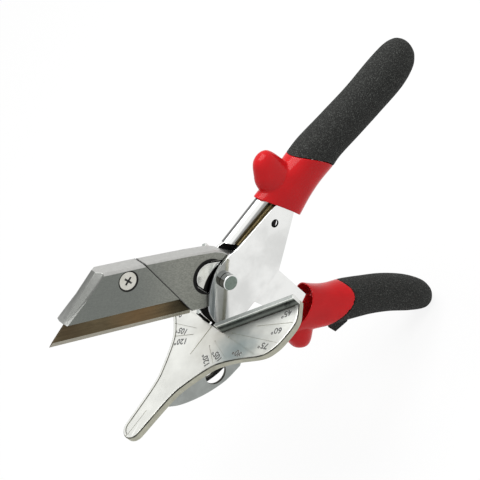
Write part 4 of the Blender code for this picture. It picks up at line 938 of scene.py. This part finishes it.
class CUTTER_OT_channel(bpy.types.Operator):
    """Handle channel: at each place along X a U, two half circles joined by straight walls"""
    bl_idname = "cutter.make_channel"
    bl_label = "Handle channel"

    def execute(self, context):
        rings = []
        for x, low, crown, slant in CHANNEL_SECTIONS:
            middle, low = crown * MM - CHANNEL_RADIUS, low * MM
            yz = np.vstack([[(-CHANNEL_RADIUS, low)], arc((0, middle), CHANNEL_RADIUS, 180, 0, 40),
                            [(CHANNEL_RADIUS, low), (CHANNEL_INNER, low)],
                            arc((0, middle), CHANNEL_INNER, 0, 180, 40), [(-CHANNEL_INNER, low)]])
            lean = slant * MM * (crown * MM - yz[:, 1]) / CHANNEL_RADIUS
            rings.append(np.stack([x * MM + lean, yz[:, 0], yz[:, 1]], 1))
        finish_piece(lofted("handle_channel_tube", rings), ANVIL,
                     ("chromed_channel", "dark_gap"), ["handle_channel"], paint=self.paint)
        return {"FINISHED"}

    def paint(self, normals, centres, index):
        """The channel has painted shade inside and at its front end."""
        inward = (normals[:, 1] * np.sign(centres[:, 1]) < -0.3) | (normals[:, 2] < -0.3)
        return inward | (normals[:, 0] < -0.5)


def section(x, centre, half_height, half_width, slant, bulge, egg, out):
    """A rounded section across a handle: superellipse of power 2.2 in Y and Z; it leans along X by
    slant times the height share, its flanks lie back by bulge times the squared width share, and its
    width shrinks by egg times the height share."""
    angle = round_angles(96)
    across, up = (np.sign(v) * np.abs(v) ** (2 / 2.2) for v in (np.cos(angle), np.sin(angle)))
    y = half_width * across * (1 - egg * up)
    return np.stack([x - slant * up + bulge * across ** 2, y, out * (centre + half_height * up)], 1)


def mix(pair, share):
    """The value at a share of the way between two."""
    return pair[0] + (pair[1] - pair[0]) * share


def sleeve_rings(handle, rows, wall):
    """Sections of a sleeve at shares of its length, all moved inwards by a wall."""
    mouth, seam = handle["span"][0] * MM, handle["span"][1] * MM
    return np.array([section(mix((mouth, seam), along), handle["centre"] * MM + SETTLE * settled,
                             mix((SLEEVE_HALF[0], GRIP_HALF[0]), slim) - wall,
                             mix((SLEEVE_HALF[1], GRIP_HALF[1]), widen) - wall,
                             mix(handle["slants"], along) * MM, mix(handle["bulges"], along) * MM,
                             0.16 * (1 - along), handle["out"]) for along, settled, slim, widen in rows])


class CUTTER_OT_sleeves(bpy.types.Operator):
    """Dipped sleeves: a lofted tube and a lofted thumb guard, hollowed at the mouth, remeshed as one skin"""
    bl_idname = "cutter.make_sleeves"
    bl_label = "Sleeves"

    def execute(self, context):
        settings = context.scene.cutter_handles
        for name, handle in (("upper_sleeve", UPPER), ("lower_sleeve", LOWER)):
            place = opened if handle is LOWER else np.asarray
            rows = curve(SLEEVE_SHARES, 8)
            sleeve = lofted(f"{name}_skin", place(sleeve_rings(handle, rows, 0)))
            height, setback, half = (v * MM for v in handle["guard"])
            seam = handle["span"][1] * MM
            base = handle["centre"] * MM + SLEEVE_HALF[0] - GUARD_SINK
            angle = round_angles(64)
            guard = [np.stack([seam - setback + half * (lead + long_share * np.cos(angle)),
                               GUARD_HALF_WIDTH * wide_share * np.sin(angle),
                               np.full(64, handle["out"] * (base + height * rise))], 1)
                     for rise, lead, long_share, wide_share in curve(GUARD_SHARES, 6)]
            fold(sleeve, [lofted("guard", place(guard), fans=True)], "UNION")
            inner = np.vstack([[(-0.36, 0, 0, 0)], rows[rows[:, 0] < 0.34]])
            fold(sleeve, [lofted("mouth", place(sleeve_rings(handle, inner, MOUTH_WALL)))])
            modify(sleeve, "REMESH", mode="VOXEL", voxel_size=settings.voxel)
            modify(sleeve, "SMOOTH", factor=0.5, iterations=settings.rounding)
            finish_piece(settle(sleeve), handle["body"], ("dipped_vinyl",), [name], sharp=180,
                         weighted=False)
        return {"FINISHED"}


class CUTTER_OT_grips(bpy.types.Operator):
    """Foam grips: rounded sections whose size and height follow smooth curves along the handle"""
    bl_idname = "cutter.make_grips"
    bl_label = "Grips"

    def execute(self, context):
        for name, handle in (("upper_grip", UPPER), ("lower_grip", LOWER)):
            place = opened if handle is LOWER else np.asarray
            seam, tip = handle["span"][1] * MM + SEAM_GAP, handle["span"][2] * MM
            rings = []
            for along, shift, size in curve(handle["shares"], 10):
                fade = max(0.0, 1 - 3 * along)
                centre = handle["centre"] * MM + SETTLE + GRIP_HALF[0] * shift
                rings.append(section(mix((seam, tip), along), centre, GRIP_HALF[0] * size, GRIP_HALF[1] * size,
                                     handle["slants"][1] * MM * fade, handle["bulges"][1] * MM * fade, 0,
                                     handle["out"]))
            grip = lofted(f"{name}_foam", place(rings), fans=True)
            finish_piece(grip, handle["body"], ("foam_grip",), [name], sharp=60, weighted=False)
        low = LOWER["centre"] * MM + SETTLE + GRIP_HALF[0]
        fin = prism("grip_fin_foam", np.array(GRIP_FIN) * MM - (0, low), rounded(-4 * MM, 4 * MM, 0.8 * MM),
                    upright=False, turn=True)
        finish_piece(fin, ARM, ("foam_grip",), [], sharp=50)
        return {"FINISHED"}


class CUTTER_OT_carrier(bpy.types.Operator):
    """Cast carrier and its front cover: solids with their edges rounded"""
    bl_idname = "cutter.make_carrier"
    bl_label = "Carrier and cover"

    def execute(self, context):
        for node in ("blade_carrier", "blade_cover"):
            finish_piece(dressed(f"{node}_cast", node), ARM,
                         ("cast_grey", "bright_crown", "nose_grey", "dark_gap"), [node],
                         edge=context.scene.cutter_metal.edge, paint=self.paint)
        return {"FINISHED"}

    def paint(self, normals, centres, index):
        """0 flanks, 1 crown with painted light, 2 nose with painted shade, 3 the dark walls of the seam and the
        painted shade on the walls of screw hole and channel recess.
        """
        level, facing = closed(centres)[:, ::2], closed(normals, False)[:, ::2]
        side = np.abs(normals[:, 1])
        along = unit(SEAM[1] - SEAM[0])
        across = np.array((-along[1], along[0]))
        seam = (np.abs((level - SEAM[0]) @ across) < 1.2 * MM) & (np.abs(facing @ across) > 0.5)
        hole = (np.linalg.norm(level - SCREW, axis=1) < 5.7 * MM) & (side < 0.93)
        recess = (np.linalg.norm(level - RECESS, axis=1) < RECESS_RADIUS - 0.6 * MM) & (side < 0.95)
        index = np.where(side > 0.93, 0, np.where(facing[:, 0] < -0.25, 2, 1))
        return np.where(seam | hole | recess, 3, index)


class CUTTER_OT_blade(bpy.types.Operator):
    """Blade: the tinted trapezoid with its bright ground bevel as faces of their own finish"""
    bl_idname = "cutter.make_blade"
    bl_label = "Blade"

    def execute(self, context):
        finish_piece(dressed("blade_steel", "blade"), ARM, ("brown_blade", "blade_bevel"),
                     ["blade"], sharp=8, paint=self.paint)
        return {"FINISHED"}

    def paint(self, normals, centres, index):
        """The bevel's faces lean a little to the blade's sides."""
        across = np.abs(normals[:, 1])
        return (across > 0.5) & (across < 0.9995)


def hexagon_nut(name, centre, half_flats, low, high, hole, turn=False):
    """A nut, in millimetres: a six-sided prism with rounded edges and a round way through."""
    corners = arc(centre, half_flats * MM / math.cos(math.pi / 6), 0, 300, 5)
    nut = prism(name, corners, rounded(low * MM, high * MM, 0.4 * MM), upright=False, turn=turn)
    way = np.array(((hole, low - 1), (hole, high + 1))) * MM
    return fold(nut, [turned("way", way, centre, 32, turn)])


class CUTTER_OT_fasteners(bpy.types.Operator):
    """Bolt, screw, nuts, washer, rivets and bush: profiles turned about their own axes"""
    bl_idname = "cutter.make_fasteners"
    bl_label = "Fasteners"

    def execute(self, context):
        pivot, steel = PIVOT[::2], ("plain_steel",)
        bolt = np.vstack([[(0.01, -11.5), (3.2, -11.5)], arc((3.75, -10.85), 0.65, -90, 0, 5),
                          [(4.4, -7.5), (3.6, -7.5), (3.6, 13.6), (3.2, 14.0), (0.01, 14.0)]]) * MM
        washer = np.array(((3.9, 7.5), (6.4, 7.5), (6.6, 7.7), (6.6, 8.2), (6.4, 8.4), (3.9, 8.4))) * MM
        bush = np.array(((3.9, -5), (5.1, -5), (5.1, 5), (3.9, 5))) * MM
        head = arc((0, 7.5), 2.9, 0, 84, 8) * (1, 0.38) + (0, 7.5 * 0.62)
        rivet = np.vstack([(head * (1, -1))[::-1], [(1.6, -7.5), (1.6, 7.5)], head]) * MM
        pin = np.array(((0.01, -4.9), (1.45, -4.9), (1.6, -4.75), (1.6, 4.75), (1.45, 4.9), (0.01, 4.9))) * MM
        cover = COVER_HALF / MM
        finish_piece(turned("pivot_bolt_steel", bolt, pivot), ANVIL,
                     ("plain_steel", "bolt_face", "bright_line", "edge_line"), ["pivot_bolt"], sharp=25,
                     paint=self.paint_bolt)
        for thing, body, slot, look, node in (
                (turned("pivot_washer_steel", washer, pivot, ring=True), ANVIL, "polished_steel",
                 steel, "pivot_washer"),
                (hexagon_nut("pivot_nut_steel", pivot, 5.5, 8.7, 13.3, 3.9), ANVIL, "screw_steel", steel,
                 "pivot_nut"),
                (hexagon_nut("clamp_nut_steel", SCREW, 3.9, cover + 0.3, cover + 3.1, 2.3, True), ARM,
                 "screw_steel", steel, "clamp_nut"),
                (turned("pivot_bush_bronze", bush, (0, 0), turn=True, ring=True), ARM, "bronze_strip",
                 ("dark_bronze",), "pivot_bush")):
            finish_piece(thing, body, look, [node], sharp=25)
        for kind, centres, profile, body in (("table_rivet", TABLE_RIVETS, rivet, ANVIL),
                                             ("tail_rivet", TAIL_RIVETS, pin, ARM)):
            for index, centre in enumerate(centres):
                node = f"{kind}_{index + 1}"
                finish_piece(turned(f"{node}_steel", profile, centre, 40, body == ARM), body,
                             steel, [node], sharp=25)
        self.screw()
        return {"FINISHED"}

    def paint_bolt(self, normals, centres, index):
        """The bolt's head: a grey-green face, a painted highlight on its rounded edge, and painted shade on its
        foot and front side.
        """
        y = centres[:, 1]
        index = np.where((normals[:, 0] < -0.3) & (y < 0), 3, 0)
        index[normals[:, 1] < -0.2] = 2
        index[normals[:, 1] < -0.97] = 1
        index[(y > -8.6 * MM) & (y < -7.4 * MM)] = 3
        return index

    def screw(self):
        """Countersunk screw: a nearly flat turned head, with a tapered cross sunk into it."""
        face, end = -COVER_HALF + 0.3 * MM, COVER_HALF + 3.7 * MM
        profile = ((0.01 * MM, face), (4.6 * MM, face + 0.02 * MM), (4.9 * MM, face + 0.15 * MM),
                   (2.0 * MM, face + 1.7 * MM), (2.0 * MM, end), (0.01 * MM, end))
        screw = turned("clamp_screw_steel", profile, SCREW, 64, True)
        long, half, heading = 2.5 * MM, 0.55 * MM, OPEN + math.radians(8)
        x = np.array((long, long, half))
        y = np.array((-half, half, half))
        cross = np.stack([np.concatenate([x, -y, -x, y]), np.concatenate([y, x, -y, -x])], 1)
        c, s = math.cos(heading), math.sin(heading)
        cross = cross @ np.array(((c, s), (-s, c)))
        rings = [np.insert(SCREW + cross * share, 1, y, axis=1)
                 for share, y in ((1.12, face - 0.5 * MM), (1.0, face), (0.5, face + 1.5 * MM))]
        recess = lofted("recess", opened(rings))
        # The cross recess's walls take the near-black second material: painted shade
        recess.data.polygons.foreach_set("material_index", np.ones(len(recess.data.polygons), np.int32))
        fold(screw, [recess])
        finish_piece(screw, ARM, ("cream_screw", "engraved_line"), ["clamp_screw"], sharp=25)


class CUTTER_OT_stage(bpy.types.Operator):
    """Pale floor, pale surroundings, an overhead soft box and the camera"""
    bl_idname = "cutter.make_stage"
    bl_label = "Stage"

    def execute(self, context):
        scene = context.scene
        settings = scene.cutter_stage
        low, reach = CAD_BOX[0][2] - 0.5 * MM, 6.0
        mesh = bpy.data.meshes.new("floor")
        mesh.from_pydata([(-reach, -reach, low), (reach, -reach, low), (reach, reach, low), (-reach, reach, low)],
                         [], [(0, 1, 2, 3)])
        floor = linked("floor", mesh)
        mesh.materials.append(self.floor_look(settings))
        self.surroundings(scene, settings)
        self.lamps(settings)
        self.camera(scene)
        scene.view_settings.view_transform = "Standard"
        for node in ("rear_blade_pin", "front_blade_pin", "clamp_plate"):
            solid = frame["nodes"][node].data
            solid.materials.clear()
            solid.materials.append(bpy.data.materials["plain_steel"])
        return {"FINISHED"}

    def floor_look(self, settings):
        """White to the eye and to reflections, with enough of the lit floor left to keep the shadow."""
        material = bpy.data.materials.new("pale_floor")
        material.use_nodes = True
        work = Wiring(material.node_tree)
        work.tree.nodes.clear()
        plain = work.add("ShaderNodeBsdfDiffuse", {"Color": (*settings.floor, 1)})
        white = work.add("ShaderNodeEmission", {"Color": (1, 1, 1, 1), "Strength": 1.0})
        share = work.maths("MULTIPLY", work.seen(), FLOOR_GLOW)
        blend = work.add("ShaderNodeMixShader", {0: share, 1: plain.outputs[0], 2: white.outputs[0]})
        work.add("ShaderNodeOutputMaterial", {"Surface": blend.outputs[0]})
        return material

    def surroundings(self, scene, settings):
        """White to the eye and to reflections, dimmer as a lamp."""
        scene.world = bpy.data.worlds.new("surroundings")
        scene.world.use_nodes = True
        work = Wiring(scene.world.node_tree)
        level = work.add("ShaderNodeMapRange", {"Value": work.seen(), "To Min": settings.fill, "To Max": 1.0})
        ground = work.tree.nodes["Background"].inputs
        work.give(ground["Color"], (1, 1, 1, 1))
        work.give(ground["Strength"], level.outputs["Result"])

    def lamps(self, settings):
        """One large soft box above, slightly behind the handles."""
        lamp = bpy.data.lights.new("soft_box", "AREA")
        lamp.shape = "RECTANGLE"
        lamp.size, lamp.size_y = 1.2, 0.9
        lamp.energy = settings.key
        spot, aim = Vector((0.35, 0.05, 1.1)), Vector((0.05, 0.0, 0.0))
        facing = (spot - aim).to_track_quat("Z", "Y").to_matrix().to_4x4()
        linked("soft_box", lamp).matrix_world = Matrix.Translation(spot) @ facing

    def camera(self, scene):
        """The photograph's view: direction, roll and distance as fitted, aimed by shifting the place."""
        turn, tilt, roll = (math.radians(v) for v in VIEW_ANGLES)
        focal = VIEW_SCALE * VIEW_DISTANCE / MM
        back = Vector((math.sin(turn) * math.cos(tilt), -math.cos(turn) * math.cos(tilt), math.sin(tilt)))
        right = Vector((math.cos(turn), math.sin(turn), 0))
        up = back.cross(right)
        right, up = (math.cos(roll) * right + math.sin(roll) * up, -math.sin(roll) * right + math.cos(roll) * up)
        shift = Vector([v - VIEW_PIXELS / 2 for v in VIEW_ORIGIN]) * VIEW_DISTANCE / focal
        lens = bpy.data.cameras.new("photo_camera")
        lens.sensor_width = 36.0
        lens.lens = focal / VIEW_PIXELS * lens.sensor_width
        lens.clip_start = 0.01
        view = Matrix((right, up, back)).transposed().to_4x4()
        view.translation = back * VIEW_DISTANCE - right * shift.x + up * shift.y
        scene.camera = linked("photo_camera", lens)
        scene.camera.matrix_world = view


class CUTTER_PT_panel(bpy.types.Panel):
    """Lists the pieces and their settings"""
    bl_label = "Molding cutter"
    bl_idname = "CUTTER_PT_panel"
    bl_space_type = "VIEW_3D"
    bl_region_type = "UI"
    bl_category = "Cutter"

    def draw(self, context):
        for name in SETTINGS:
            box = self.layout.box()
            settings = getattr(context.scene, name)
            for label in settings.bl_rna.properties.keys():
                if label not in ("rna_type", "name"):
                    box.prop(settings, label)
        for maker in MAKERS:
            self.layout.operator(maker.bl_idname)


SETTINGS = {"cutter_table": TableLook, "cutter_handles": HandleLook, "cutter_metal": MetalLook,
            "cutter_stage": StageLook}
MAKERS = (CUTTER_OT_table, CUTTER_OT_plates, CUTTER_OT_channel, CUTTER_OT_sleeves, CUTTER_OT_grips,
          CUTTER_OT_carrier, CUTTER_OT_blade, CUTTER_OT_fasteners, CUTTER_OT_stage)


def register():
    """Adds the classes and their settings."""
    for kind in (*SETTINGS.values(), *MAKERS, CUTTER_PT_panel):
        bpy.utils.register_class(kind)
    for name, kind in SETTINGS.items():
        setattr(bpy.types.Scene, name, PointerProperty(type=kind))


def unregister():
    """Takes the classes and their settings away again."""
    for name in SETTINGS:
        delattr(bpy.types.Scene, name)
    for kind in (CUTTER_PT_panel, *reversed(MAKERS), *reversed(SETTINGS.values())):
        bpy.utils.unregister_class(kind)


def main():
    """Makes every piece in order."""
    register()
    make_groups()
    make_materials()
    bpy.ops.cutter.make_table()
    bpy.ops.cutter.make_plates()
    bpy.ops.cutter.make_channel()
    bpy.ops.cutter.make_sleeves()
    bpy.ops.cutter.make_grips()
    bpy.ops.cutter.make_carrier()
    bpy.ops.cutter.make_blade()
    bpy.ops.cutter.make_fasteners()
    bpy.ops.cutter.make_stage()
    bpy.context.view_layer.update()


if __name__ == "__main__":
    main()
